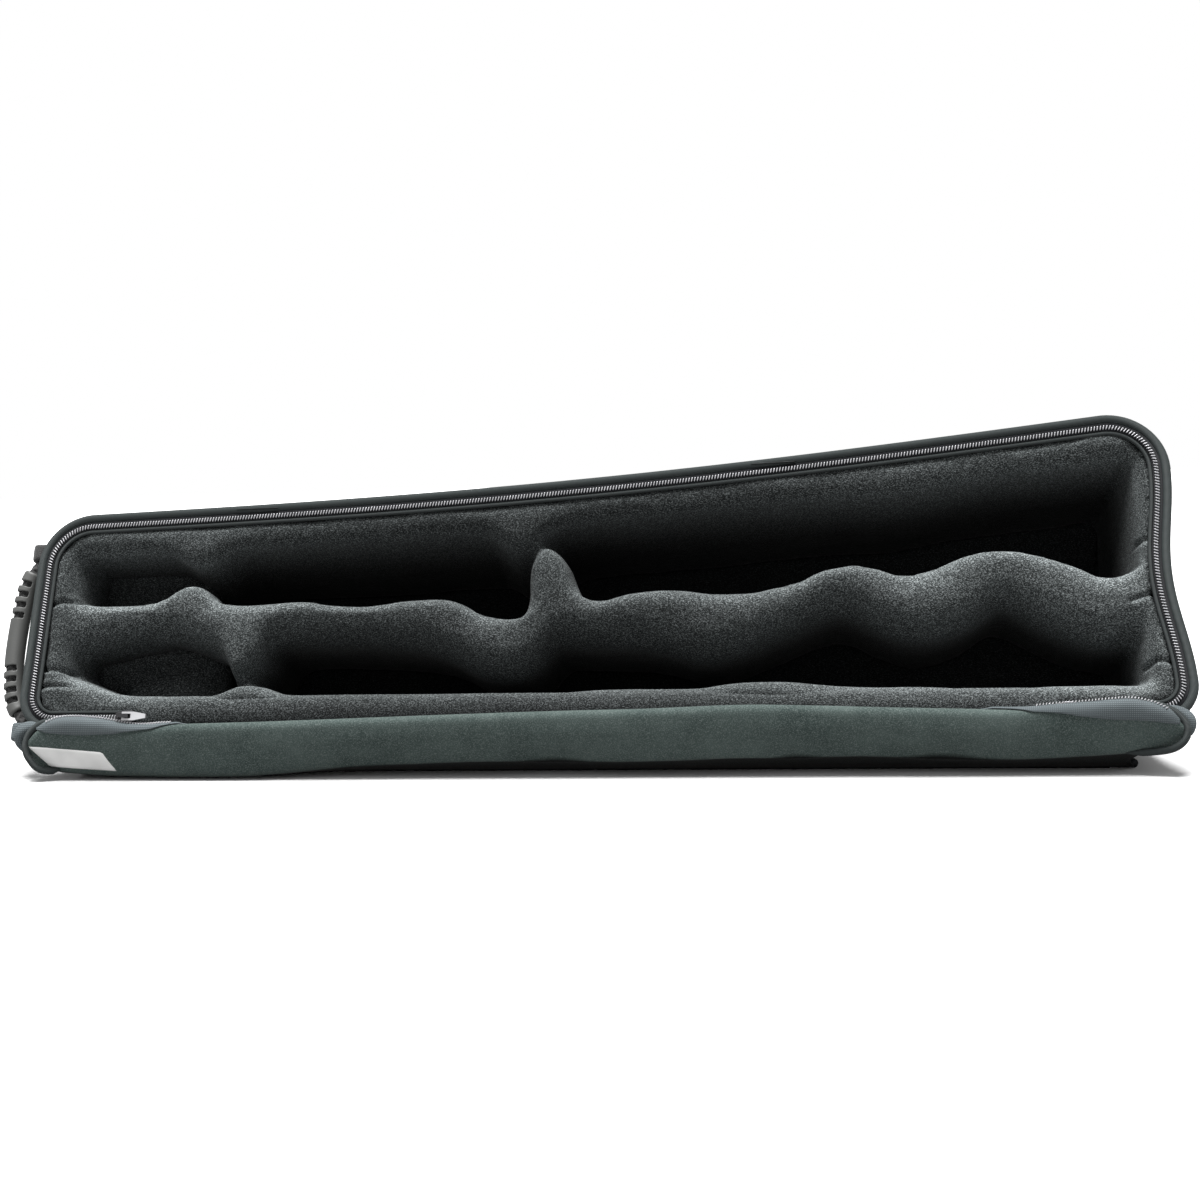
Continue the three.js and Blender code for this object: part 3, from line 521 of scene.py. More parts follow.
def ribbed_look(name, color, pitch):
    """Grosgrain: ribs across a band, by its length UVs."""
    material = look(name, color, 0.6, Specular_IOR_Level=0.35)
    place = place_output(material, uv=True, turn=(0, 0, math.radians(12)))
    ribs = add_node(material, "ShaderNodeTexWave", {"Vector": place}, bands_direction="X",
                    Scale=1 / (pitch * 2), Distortion=0.4).outputs["Fac"]
    shown = mix_output(material, ribs, [c * 0.6 for c in color], [c * 1.7 for c in color])
    connect(material, shown, add_bump(material, ribs, 0.0004, 0.8))
    return material


def suede_look():
    """A short lining with a raised pile and a cool green cast, patchy where the pile lies both ways, and
    darkened by a painted shadow where it curls under the flap."""
    material = look("suede", (0.04, 0.048, 0.046), 0.9, Sheen_Weight=0.05, Specular_IOR_Level=0.15)
    place = place_output(material)
    suede_nap_fleece_facing_light = noise_output(material, place, 1400, 3, 0.6)
    patches = noise_output(material, place, 24, 5, 0.65)
    tone = ramp_output(material, patches, [(0.32, (0.033, 0.049, 0.046)), (0.72, (0.079, 0.105, 0.098))])
    fleck = ramp_output(material, suede_nap_fleece_facing_light, [(0.47, 0), (0.68, 0.8)])
    color = mix_output(material, fleck, tone, (0.16, 0.19, 0.18))
    # Painted shadow: behind the flap's curl the suede of the flap and of the panel pad goes nearly black.
    depth = add_node(material, "ShaderNodeSeparateXYZ", {"Vector": place}).outputs["Y"]
    inward = share_output(material, depth, UNDER_FLAP_SHADOW_START, UNDER_FLAP_SHADOW_END)
    under_flap_shadow = ramp_output(material, inward, [(0.0, 1), (1.0, 0.04)])
    color = mix_output(material, 1.0, color, under_flap_shadow, "MULTIPLY")
    connect(material, color, add_bump(material, suede_nap_fleece_facing_light, 0.0006, 0.6))
    return material


def plain_look(name, color, roughness, grain=600, depth=0.0002, **sockets):
    """A moulded or polished surface with a fine grain."""
    material = look(name, color, roughness, **sockets)
    place = place_output(material)
    grains = noise_output(material, place, grain, 3)
    drift = noise_output(material, place, 40, 2)
    tone = ramp_output(material, drift, [(0.3, [c * 0.85 for c in color]), (0.7, [c * 1.12 for c in color])])
    connect(material, tone, add_bump(material, grains, depth, 0.4))
    return material


def braid_look():
    """A braided rope's threads, finer than the strands that its surface is shaped in."""
    material = look("braid", (0.02, 0.02, 0.02), 0.75, Sheen_Weight=0.2)
    place = place_output(material)
    threads = noise_output(material, place, 1500, 2)
    color = ramp_output(material, threads, [(0.35, (0.006, 0.006, 0.0065)), (0.7, 0.05)])
    connect(material, color, add_bump(material, threads, 0.0004, 0.7))
    return material


FLEECE = fleece_look()
SUEDE = suede_look()
COVER = cover_look("cover", (0.011, 0.014, 0.0145), 0.0009)
PIPING = ribbed_look("grosgrain", (0.03, 0.037, 0.037), 0.0011)
TAPE = ribbed_look("zip_tape", (0.006, 0.007, 0.009), 0.0007)
BINDING = ribbed_look("binding", (0.03, 0.036, 0.036), 0.0008)
LENS = cover_look("zip_cloth", (0.085, 0.1, 0.106), 0.0006)
WEBBING = ribbed_look("webbing", (0.028, 0.034, 0.034), 0.0016)
COIL = plain_look("coil", (0.56, 0.56, 0.58), 0.3, Metallic=0.35)
STEEL = plain_look("steel", (0.75, 0.75, 0.77), 0.22, Metallic=0.6)
NICKEL = plain_look("dark_nickel", (0.12, 0.12, 0.125), 0.25, Metallic=1.0)
RUBBER = plain_look("rubber", (0.085, 0.087, 0.084), 0.5, grain=900)
BRAID = braid_look()
PLATE = plain_look("plate", (0.93, 0.93, 0.92), 0.5, grain=1200, depth=0.0001)

# Camera at the photograph's place

PHOTO_SIZE = 1200
FOCAL_PIXELS = 1700
SENSOR = 36
camera_place = Vector((0.1570, -1.1148, 0.1967))
camera_right = Vector((0.99153, 0.12671, -0.02851)).normalized()
camera_back = Vector((0.12866, -0.98824, 0.08261))
camera_back = (camera_back - camera_right * camera_back.dot(camera_right)).normalized()
camera_up = camera_back.cross(camera_right)
camera_data = bpy.data.cameras.new("camera")
camera_data.sensor_width = SENSOR
camera_data.lens = SENSOR * FOCAL_PIXELS / PHOTO_SIZE
camera = linked("camera", camera_data)
camera_turn = Matrix((camera_right, camera_up, camera_back)).transposed().to_4x4()
camera.matrix_world = Matrix.Translation(camera_place) @ camera_turn
bpy.context.scene.camera = camera

# Foam insert: each pad keeps the place of its CAD solid, with crowned edges under a fleece skin

CLOTH_FRAMES = 12
CLOTH_PRESSURE = 4
PAT_WAVES = [(0.022, 0.45), (0.009, 0.18)]
SEAM_DEPTH = 2.4
SEAM_WIDTH = 1.5


def copy_of(name, *sources, swell=0.0):
    """The CAD solids' skins in one mesh, each swelled by a distance in millimetres."""
    joined = bmesh.new()
    for source in sources:
        skin = bmesh.new()
        skin.from_mesh(nodes[source].data)
        bmesh.ops.remove_doubles(skin, verts=skin.verts, dist=MM * MM)
        skin.normal_update()
        for vertex in skin.verts:
            vertex.co += vertex.normal * swell * MM
        mesh = bpy.data.meshes.new(name)
        skin.to_mesh(mesh)
        skin.free()
        joined.from_mesh(mesh)
        bpy.data.meshes.remove(mesh)
    mesh = bpy.data.meshes.new(name)
    joined.to_mesh(mesh)
    joined.free()
    return linked(name, mesh)


def smooth_step(low, high, value):
    t = np.clip((value - low) / (high - low), 0, 1)
    return t * t * (3 - 2 * t)


def sew_seams(obj, seams):
    """Sinks a seam where a pad's skin is tucked in. Each seam is a line of (x, u) places, seen down v."""
    points = from_row(coordinates(obj), TRAY)
    away = np.full(len(points), 1e6)
    for line in seams:
        for a, b in zip(np.array(line[:-1], float), np.array(line[1:], float)):
            way = b - a
            t = np.clip((points[:, :2] - a) @ way / (way @ way), 0, 1)
            away = np.minimum(away, np.linalg.norm(points[:, :2] - a - t[:, None] * way, axis=1))
    sunk = SEAM_DEPTH * np.exp(-((away / SEAM_WIDTH) ** 2)) * smooth_step(-26, -12, points[:, 2])
    set_coordinates(obj, coordinates(obj) - normals_of(obj) * sunk[:, None] * MM)


def puffed(obj, cap):
    """Crowns a closed skin by a few frames of cloth under pressure, no point moving further than the cap."""
    start = coordinates(obj)
    cloth = add_modifier(obj, "CLOTH")
    cloth.settings.use_pressure = True
    cloth.settings.uniform_pressure_force = CLOTH_PRESSURE
    cloth.settings.effector_weights.gravity = 0
    cloth.settings.quality = 3
    cloth.point_cache.frame_start = 1
    cloth.point_cache.frame_end = CLOTH_FRAMES
    for moment in range(1, CLOTH_FRAMES + 1):
        bpy.context.scene.frame_set(moment)
    settle(obj)
    bpy.context.scene.frame_set(1)
    moved = coordinates(obj) - start
    far = np.linalg.norm(moved, axis=1)[:, None]
    set_coordinates(obj, start + moved * np.minimum(1, cap * MM / np.maximum(far, MM * MM)))


def pad(name, *sources, voxel=3.0, rounds=14, swell=0.8, cap=1.2, seed=0, seams=()):
    """A foam pad's skin: rounded from its solids, crowned by cloth pressure, and patted uneven."""
    obj = worn_round(copy_of(name, *sources, swell=swell), voxel, rounds)
    if cap:
        puffed(obj, cap)
    points = coordinates(obj)
    waves = sum(value_noise(points / run, seed + i) * height for i, (run, height) in enumerate(PAT_WAVES))
    set_coordinates(obj, points + normals_of(obj) * waves[:, None] * MM)
    add_modifier(obj, "SUBSURF", levels=1, render_levels=1)
    settle(obj)
    if seams:
        sew_seams(obj, seams)
    finished(obj, "tray", FLEECE, "fleece", *sources)


def flat_size(rows):
    """The mean width and length in metres of a grid of points in millimetres, measured along its rows."""
    width = np.linalg.norm(np.diff(rows, axis=0), axis=-1).sum(0).mean()
    length = np.linalg.norm(np.diff(rows, axis=1), axis=-1).sum(1).mean()
    return float(width * MM), float(length * MM)


LIP_PROFILE = [(14.5, -6), (11, -0.9), (7, 1.1), (3, 1.8), (-1, 1.6), (-4.5, 0.4), (-7, -2), (-8, -6)]
LIP_END_GAP = 2
LIP_STEPS = 190
LIP_SECTION_STEPS = 30
LIP_FADE = 40
LIP_WAVE_RUN = 22
LIP_WAVE_HEIGHT = 0.5
LIP_SINK = 0.3
LIP_END_SINK = 1.2
LIP_THICKNESS = 1.4


def hinge_lip():
    """The hinge pad's fleece, carried over the rim's unzipped edge and down behind the flap."""
    section = smooth_line(LIP_PROFILE, LIP_SECTION_STEPS)
    xs = np.linspace(-ZIP_END + LIP_END_GAP, ZIP_END - LIP_END_GAP, LIP_STEPS)
    rows = np.stack([np.insert(section, 0, x, axis=1) for x in xs])
    waves = value_noise(rows.reshape(-1, 3) / LIP_WAVE_RUN, 41).reshape(rows.shape[:2])
    rows[..., 2] += waves * LIP_WAVE_HEIGHT - LIP_SINK
    ends = smooth_step(0, LIP_FADE, ZIP_END - np.abs(xs))[:, None]
    rows[..., 2] -= (1 - ends) * LIP_END_SINK
    obj = thickened(grid_object("hinge_lip_fleece", to_row(rows, TRAY)), LIP_THICKNESS, -1)
    finished(obj, "tray", FLEECE, "fleece")
    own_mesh(obj)


def lengths_of(name):
    """The foam lengths that one long pad is glued up from."""
    return sorted(node for node in nodes if node.startswith(name + "_"))


END_SEAMS = [
    [(-362, 76), (-338, 80)],
    [(-362, 33), (-330, 32)],
    [(-362, 21), (-332, 22)],
    [(362, 112), (330, 104)],
    [(362, 74), (345, 72), (334, 68)],
    [(362, 28), (345, 30), (330, 22)],
]
insert_parts = [*lengths_of("far_wall_pad"), *lengths_of("hinge_wall_pad"), *lengths_of("divider_pad")]
insert_parts += ["neck_end_pad", "bell_end_pad"]
pad("insert_cushion", *insert_parts, rounds=22, swell=2.2, seed=15, seams=END_SEAMS)
hinge_lip()
pad("floor_cushion", "floor_pad", rounds=3, swell=0.2, cap=0, seed=16)
pad("upper_pocket_cushion", "upper_pocket_floor", rounds=6, swell=0.4, seed=17)
pad("lower_pocket_cushion", "lower_pocket_floor", rounds=6, swell=0.4, seed=18)

# Tray shell, from the rim down over the rounded heel to the back panel

WALL_OUT = 5.5
WALL_IN = 2.4
RIM_TOP = -2.2
CHAMFER_WIDTH = 3.9
CHAMFER_FOOT = RIM_TOP - 5.2
HEEL = 14
SHELL_FLOOR = 5.7
BACK_CROWN = 1.2
BACK_HALF = 84


def outer_inset(v):
    return -WALL_OUT + (CHAMFER_FOOT - v) * WALL_DRAFT


def tray_cover():
    heel_top = -TRAY_DEPTH + HEEL
    foot = outer_inset(heel_top)
    profile = [[WALL_IN, RIM_TOP], [-WALL_OUT + CHAMFER_WIDTH, RIM_TOP]]
    for s in (0.3, 0.6, 1):
        profile.append([-WALL_OUT + CHAMFER_WIDTH * (1 - s) ** 2, RIM_TOP + (CHAMFER_FOOT - RIM_TOP) * s])
    profile += [[outer_inset(v), v] for v in np.linspace(CHAMFER_FOOT, heel_top, 16)[1:]]
    turns = np.linspace(0, math.pi / 2, 9)[1:]
    profile += [[foot + HEEL * (1 - math.cos(a)), heel_top - HEEL * math.sin(a)] for a in turns]
    for step in (4, 10, 18, 28, 40):
        profile.append([foot + HEEL + step, -TRAY_DEPTH - BACK_CROWN * math.sin(step / BACK_HALF * math.pi)])
    rows = band_rows(profile, whole=True)
    depths = np.linspace(RIM_TOP, -TRAY_DEPTH + SHELL_FLOOR, 6)
    inner_profile = [[WALL_IN + (RIM_TOP - v) * WALL_DRAFT, v] for v in depths]
    inner = band_rows(inner_profile[::-1], whole=True)
    joined = np.concatenate([inner[:, :-1], rows], 1)
    obj = tube_object("tray_cover", np.swapaxes(joined, 0, 1))
    boards = ["tray_back_board", *("tray_wall_" + side for side in ("neck", "bell", "far", "hinge"))]
    finished(obj, "tray", COVER, "cover", *boards)


tray_cover()

# Rim trim: piping, zip tape, chain teeth and binding

PIPING_OUT = 6.2
PIPING_DROP = 2.7
PIPING_RADIUS = 2.9
CHAIN_MIDDLE = -0.15
TOOTH_PITCH = 1.87
TOOTH_LENGTH = 0.82
TOOTH_HEIGHT = 1.3
TOOTH_SLANT = 0.3
TOOTH_SWELL = [0.35, 0.85, 0.95, 0.8, 0.9, 1, 0.4]
TAPE_PROFILE = [
    [1.2 - WALL_OUT, -1.9], [2.4 - WALL_OUT, -1.2], [-1.2, -1.15], [2.1, -1.15], [2.2, -2],
    [2 - WALL_OUT, -2.1],
]
BINDING_PROFILE = [[2.6, -2.4], [2.5, -1.0], [3.2, -0.6], [4.1, -0.7], [4.7, -1.4], [4.6, -2.6]]


def tooth_mesh(width):
    """One turn of the coil as it shows: a rounded bar across the chain, thicker at its head."""
    count, sides = len(TOOTH_SWELL), 8
    swell = np.array(TOOTH_SWELL)[:, None]
    angles = round_angles(sides)
    across = np.repeat(np.linspace(-0.5, 0.5, count)[:, None] * width, sides, axis=1)
    along = swell * TOOTH_LENGTH / 2 * np.cos(angles)
    up = swell * TOOTH_HEIGHT / 2 * np.sin(angles)
    faces = []
    for i in range(count - 1):
        for j in range(sides):
            m = (j + 1) % sides
            faces.append((i * sides + j, (i + 1) * sides + j, (i + 1) * sides + m, i * sides + m))
    faces.append(tuple(range(sides)))
    faces.append(tuple(range(count * sides - 1, (count - 1) * sides - 1, -1)))
    return np.stack([along, across, up], -1).reshape(-1, 3), faces


def teeth(name, line, up, base, width=2.9):
    """Teeth along a line of millimetre points, each turned a little to the line as a coil's turns are."""
    places, tangents = spaced(line, TOOTH_PITCH)
    ups = np.broadcast_to(up, places.shape)
    across = np.cross(ups, tangents)
    across /= np.linalg.norm(across, axis=1)[:, None]
    ups = np.cross(tangents, across)
    tooth, faces = tooth_mesh(width)
    skewed = tooth[:, 0] + TOOTH_SLANT * tooth[:, 1]
    points = (places[:, None] + tangents[:, None] * skewed[None, :, None]
              + across[:, None] * tooth[None, :, 1, None] + ups[:, None] * tooth[None, :, 2, None])
    size = len(tooth)
    every = [tuple(i + n * size for i in face) for n in range(len(places)) for face in faces]
    return mesh_object(name, to_row(points, base).reshape(-1, 3), every)


piping_rows = band_rows(round_profile(-PIPING_OUT, -PIPING_DROP, PIPING_RADIUS))
binding_rows = band_rows(BINDING_PROFILE, whole=True)
chain_line = np.insert(rim(0, corner_steps=24), 2, CHAIN_MIDDLE, axis=1)
for piece, cloth, slot, node in (
    (tube_object("rim_piping_cover", piping_rows), PIPING, "cover", "rim_piping"),
    (tube_object("tray_tape_cloth", band_rows(TAPE_PROFILE)), TAPE, "tape", "tray_zip_tape"),
    (teeth("tray_chain_teeth", chain_line, (0, 0, 1), TRAY), COIL, "coil", "tray_zip_chain"),
    (grid_object("rim_binding_cloth", binding_rows, ring=True, loop=True), BINDING, "tape", "rim_binding"),
):
    finished(piece, "tray", cloth, slot, node)

# Lid flap: one soft lining that leaves the tray's hinge edge, rolls forward and curls under to the fold. Its
# places are row-frame millimetres, but for x, which is counted from the middle of the case.

FLAP_STEPS = 140
FLAP_ROWS = 34
FRONT_Y = -95.0
FLAP_STEPS_DOWN = 9
FLAP_WAVE_RUN = 16
FLAP_WAVE_HEIGHT = 0.16
LINING_THICKNESS = 1.2
OUTER_THICKNESS = 1.6
OUTER_LIFT = -2.6
LENS_THICKNESS = 0.7
LENS_TOP = 0.085
LENS_LEAST = 0.13
LABEL_THICKNESS = 0.5
LABEL_CORNERS = [[(-357.6, 24.2), (-348.5, 9.9)], [(-308.6, 19.9), (-301.7, 7.3)]]
BOUND_RADIUS = 2.2
BOUND_STEPS = 90
BOUND_FRONT_Y = -94.2
CORNER_STEPS = 50
CORNER_SIDES = 24
TUBE_UP = (0.3, -1, 0.2)
CHAIN_LIFT = 2.3
FLAP_TOOTH_WIDTH = 2.4
top_heights = [
    (-372, 33), (-358, 36), (-347, 38.3), (-337, 40.8), (-324, 41.1), (-309, 39.7), (-299, 37.9),
    (-289, 36.2), (-279, 35.7), (-268, 36.4), (-250, 37), (-215, 37.6), (-180, 38.5), (-120, 40.2),
    (-62, 41.8), (-10, 43), (40, 43.8), (98, 45.6), (140, 44.8), (180, 43.4), (222, 42.2), (263, 41.4),
    (286, 43.3), (302, 44.4), (317, 45.7), (327, 46.1), (340, 43.8), (347, 41.5), (354, 38.5), (372, 34),
]
curl_heights = [
    (-372, 8), (-330, 4), (-304, 2.8), (-219, 2.6), (-167, 5.5), (-110, 8.6), (-64, 10.4), (-20, 9),
    (23, 9.6), (60, 10.6), (97, 11.8), (130, 10.2), (169, 12.4), (215, 9.2), (263, 9.4), (310, 12),
    (341, 14.2), (372, 15),
]
curl_reach = [
    (-372, -80), (-304, -84), (-219, -86), (-150, -81), (-64, -83.5), (-20, -79.5), (23, -83), (97, -84),
    (130, -79.5), (169, -83.5), (215, -79), (263, -82), (341, -84), (372, -82),
]


def along_x(places, x):
    """A smooth value at x through given (x, value) places."""
    xs, values = np.array(places, float).T
    return cubic(values, np.interp(x, xs, np.arange(len(xs))))


# How far along x the lining's two ends reach, from the hinge edge to the fold
left_reach = [-326, -339, -346, -354, -361, -360, -352, -341, -336, -338]
right_reach = [335, 343, 350, 356, 360.5, 360, 352, 337, 330, 334]
flap_shift = hinge_place.x / MM


def flap_surface(x, s):
    """Places on the lining in row-frame millimetres, a share s of the way from the hinge edge to the fold."""
    x, s = np.broadcast_arrays(np.asarray(x, float), np.asarray(s, float))
    top, curl, reach = (along_x(places, x) for places in (top_heights, curl_heights, curl_reach))
    fold_y, fold_z = fold_place.y / MM, fold_place.z / MM
    route = [
        (-88.5, top - 2.4),
        (-91.5, top - 0.2),
        (FRONT_Y + 0.6, top - 1.6),
        (FRONT_Y, top - 6),
        (FRONT_Y + 1.8, (top + curl) / 2 + 1),
        (reach - 4.4, curl + 6.4),
        (reach - 1.2, curl + 1.6),
        (reach + 3, curl - 0.2),
        ((reach + fold_y) / 2 + 2, (curl + fold_z) / 2 - 0.4),
        (fold_y, fold_z),
    ]
    y, z = (cubic(np.stack([np.broadcast_to(value, x.shape) for value in values]), s * FLAP_STEPS_DOWN)
            for values in zip(*route))
    return np.stack([x + flap_shift, y, z], -1)


def on_flap(x, s, lift):
    """Places at a height off the lining, on the side that shows."""
    step = 0.002
    down = flap_surface(x, np.add(s, step)) - flap_surface(x, np.subtract(s, step))
    along = flap_surface(np.add(x, 1), s) - flap_surface(np.subtract(x, 1), s)
    normal = np.cross(down, along)
    normal /= np.linalg.norm(normal, axis=-1)[..., None]
    return flap_surface(x, s) + normal * np.asarray(lift, float)[..., None]


def flap_end(reach, s):
    return cubic(reach, s * (len(reach) - 1))


def on_flap_body(obj, surface, slot, *stands_for):
    """Finishes a piece of the flap and gives it a mesh of its own."""
    finished(obj, "lid_flap", surface, slot, *stands_for)
    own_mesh(obj)
    return obj


def flap_sheet(name, lift, inset, thickness, surface, slot, node):
    """A layer of the flap from the hinge edge to the fold."""
    s = np.linspace(0, 1, FLAP_ROWS)
    left, right = flap_end(left_reach, s) + inset, flap_end(right_reach, s) - inset
    share = np.linspace(0, 1, FLAP_STEPS)[:, None]
    x = left + (right - left) * share
    rows = on_flap(x, s[None, :], lift)
    wave = value_noise(rows.reshape(-1, 3) / FLAP_WAVE_RUN, 31).reshape(x.shape) * FLAP_WAVE_HEIGHT
    rows[..., 1] += wave * np.sin(math.pi * s)[None, :] * np.sin(math.pi * share)
    obj = thickened(grid_object(name, rows * MM), thickness)
    return on_flap_body(obj, surface, slot, node), flat_size(rows)


def share_at(x, z):
    """The share of the way down the lining's front where it is at a height."""
    top, curl = along_x(top_heights, x), along_x(curl_heights, x)
    heights = [top - 0.2, top - 1.6, top - 6, (top + curl) / 2 + 1, curl + 6.4, curl + 1.6]
    heights = np.stack([np.broadcast_to(height, x.shape) for height in heights], -1)
    shares = np.arange(1, len(heights[0]) + 1) / FLAP_STEPS_DOWN
    return np.array([np.interp(-level, -line, shares) for level, line in zip(z, heights)])


def lens_cloth(name, lower, node):
    """The zip's tape where it lies over the lining, from the crest down to a line of (x, z) places."""
    xs, levels = smooth_line(lower, 80).T
    low = np.maximum(share_at(xs, levels), LENS_LEAST)
    across = np.linspace(0, 1, 14)
    s = LENS_TOP + (low[:, None] - LENS_TOP) * across
    lift = 0.5 + 0.9 * np.sin(math.pi * (0.1 + 0.75 * across))
    pinch = smooth_step(0, 8, np.minimum(xs - xs[0], xs[-1] - xs))[:, None]
    rows = on_flap(np.broadcast_to(xs[:, None], s.shape), s, 0.3 + lift * pinch)
    on_flap_body(thickened(grid_object(name, rows * MM), LENS_THICKNESS), LENS, "tape", node)


def flap_chain(name, places, node):
    """The lid's row of teeth, over the lens and round the flap's end, along (x, share) places."""
    x, s = smooth_line(places, 240).T
    points = on_flap(x, s, CHAIN_LIFT)
    middle = on_flap(x, s, CHAIN_LIFT + 1) - points
    obj = teeth(name, points, middle.mean(0), Matrix.Identity(4), FLAP_TOOTH_WIDTH)
    on_flap_body(obj, COIL, "coil", node)


def in_sight(places, depths):
    """Row-frame points that the camera sees at (x, z) places of the flap's front, each at its own depth y."""
    places, depths = np.asarray(places, float), np.asarray(depths, float)
    front = np.insert(places, 1, FRONT_Y + 1, axis=1)
    eye = np.array(camera_place) / MM
    return eye + (front - eye) * ((depths - eye[1]) / (FRONT_Y + 1 - eye[1]))[:, None]


def end_piping(name, places):
    """The bound edge that follows the flap's end round from the hinge corner to the underside."""
    share = np.linspace(0, 1, len(places))
    depths = BOUND_FRONT_Y + 5 * (2 * share - 1) ** 2 + 4 * smooth_step(0.6, 1, share)
    points = smooth_line(in_sight(places, depths), BOUND_STEPS)
    radius = BOUND_RADIUS * np.minimum(1, np.sin(np.linspace(0.06, math.pi - 0.06, BOUND_STEPS)) * 4)
    rows = tube_rows(points * MM, radius * MM, 20, up=TUBE_UP)
    on_flap_body(tube_object(name, rows), PIPING, "cover")


def corner_fold(name, fold):
    """A fold of the cover that bulges out beside the flap's end, where the cloth is gathered at the zip."""
    places, sizes, depth = fold
    points = smooth_line(in_sight(places, np.full(len(places), depth)), CORNER_STEPS)
    share = np.linspace(0, len(sizes) - 1, CORNER_STEPS)
    angle = round_angles(CORNER_SIDES)
    turn = share[:, None]
    uneven = 1 + 0.05 * np.cos(2 * angle + turn * 1.3) + 0.03 * np.cos(5 * angle - turn)
    radius = cubic(sizes, share)[:, None] * uneven
    rows = tube_rows(points * MM, radius * MM, CORNER_SIDES, up=TUBE_UP)
    on_flap_body(tube_object(name, rows), LENS, "cover")


def label_patch():
    """The bare white label, sewn on by its edge at the flap's neck end."""
    a, b = np.meshgrid(np.linspace(0, 1, 30), np.linspace(0, 1, 14), indexing="ij")
    (left_top, left_bottom), (right_top, right_bottom) = np.array(LABEL_CORNERS)
    top = left_top + (right_top - left_top) * a[..., None]
    bottom = left_bottom + (right_bottom - left_bottom) * a[..., None]
    places = top + (bottom - top) * b[..., None]
    s = share_at(places[..., 0].ravel(), places[..., 1].ravel()).reshape(a.shape)
    edge = np.minimum(np.minimum(a, 1 - a) * 50, np.minimum(b, 1 - b) * 16)
    lift = 0.25 + 0.5 * smooth_step(0, 1.4, edge)
    patch = grid_object("label_patch", on_flap(places[..., 0], s, lift) * MM)
    on_flap_body(thickened(patch, LABEL_THICKNESS), PLATE, "plate", "label_plate")


lining, lining_size = flap_sheet(
    "flap_lining_cloth", 0, 0, LINING_THICKNESS, SUEDE, "suede", "flap_lining")
outer_cloth, outer_size = flap_sheet(
    "flap_outer_cloth", OUTER_LIFT, 1.2, OUTER_THICKNESS, COVER, "cover", "lid_flap_cloth")

# What lies at each end of the flap: the lens's lower edge, the chain, the bound edge and the fold beside it
lens_edges = {
    "neck": [
        (-351, 34.5), (-348, 33.6), (-335.8, 31.6), (-322.5, 30.8), (-309, 31.2), (-295, 32.2), (-280, 33.4),
        (-268, 35.2), (-252, 36.9),
    ],
    "bell": [
        (240, 41.2), (263, 40.4), (286, 39.1), (300, 37.5), (314.5, 35.5), (328.7, 35), (339.4, 34.3),
        (346, 33.4), (354, 32.5),
    ],
}
chain_lines = {
    "neck": [(-262, 0.135), (-290, 0.13), (-315, 0.13), (-332, 0.14), (-344, 0.195)],
    "bell": [(272, 0.13), (300, 0.13), (320, 0.135), (336, 0.145), (347, 0.205)],
}
bound_edges = {
    "neck": [
        (-325, 40.9), (-331.9, 40.2), (-339.4, 37.7), (-345.8, 32.6), (-349, 26.1), (-349.2, 20.3),
        (-347.4, 15.8), (-342.4, 9.9), (-335.1, 7.9), (-327, 8.6),
    ],
    "bell": [
        (343, 46), (350.3, 44.4), (357.1, 41.9), (363.3, 38.3), (367.3, 33.6), (368.7, 28.2), (367.3, 22.9),
        (362.7, 18.8), (356.5, 16.8), (347.4, 15.9), (334, 15.4),
    ],
}
corner_folds = {
    "neck": ([(-338, 36), (-345, 36), (-351, 33), (-352.5, 27), (-350, 21)], [2, 4.2, 4.8, 3.6, 1.6], -87),
    "bell": ([(357, 42), (364, 39), (368.5, 34.5), (369, 29), (367, 25)], [2, 3.8, 5, 4.2, 1.8], -86),
}
for make, name, places, node in (
    (lens_cloth, "lens_cloth_", lens_edges, "flap_tape_"),
    (flap_chain, "flap_chain_", chain_lines, "flap_zip_chain_"),
    (end_piping, "end_piping_", bound_edges, None),
    (corner_fold, "corner_fold_", corner_folds, None),
):
    for end in ("neck", "bell"):
        stands_for = [node + end] if node else []
        make(name + end, places[end], *stands_for)
label_patch()

# Lid panel: a cloth-covered board with a padded inner face, flat on the floor behind the flap

PANEL_GAP = 0.5
LID_PIPING_LIFT = 4.2
LID_TAPE_BOTTOM = 3.4
LID_TAPE_TOP = LID_TAPE_BOTTOM + 0.7
LID_TAPE_OUT = 3.8 - WALL_OUT
LID_TAPE_IN = 2.1
LID_CHAIN_MIDDLE = 2.4


def soft_copy(name, surface, slot, source, body="tray", *, voxel, rounds, growth=0.0, cap=0.0):
    """A CAD solid with its edges rounded off, a little fuller than it was, and not below the floor."""
    obj = worn_round(copy_of(name, source), voxel, rounds)
    if cap:
        puffed(obj, cap)
    points = coordinates(obj) + normals_of(obj) * growth * MM
    points[:, 2] = np.maximum(points[:, 2], 0)
    set_coordinates(obj, points)
    return finished(obj, body, surface, slot, source)


def panel_rows(profile):
    """A profile carried round the panel's free edge, from the fold on one side to the fold on the other."""
    line = rim(0)
    beyond_fold = np.flatnonzero(line[:, 1] > FOLD_U + PANEL_GAP)
    first, last = beyond_fold[0] - 1, beyond_fold[-1] + 2
    loops = [np.insert(rim(inset)[first:last], 2, v, axis=1) for inset, v in profile]
    loops = np.stack(loops, 1)
    loops[[0, -1], :, 1] = FOLD_U + PANEL_GAP
    return loops


PINCH = 30
PINCH_RUN = 95


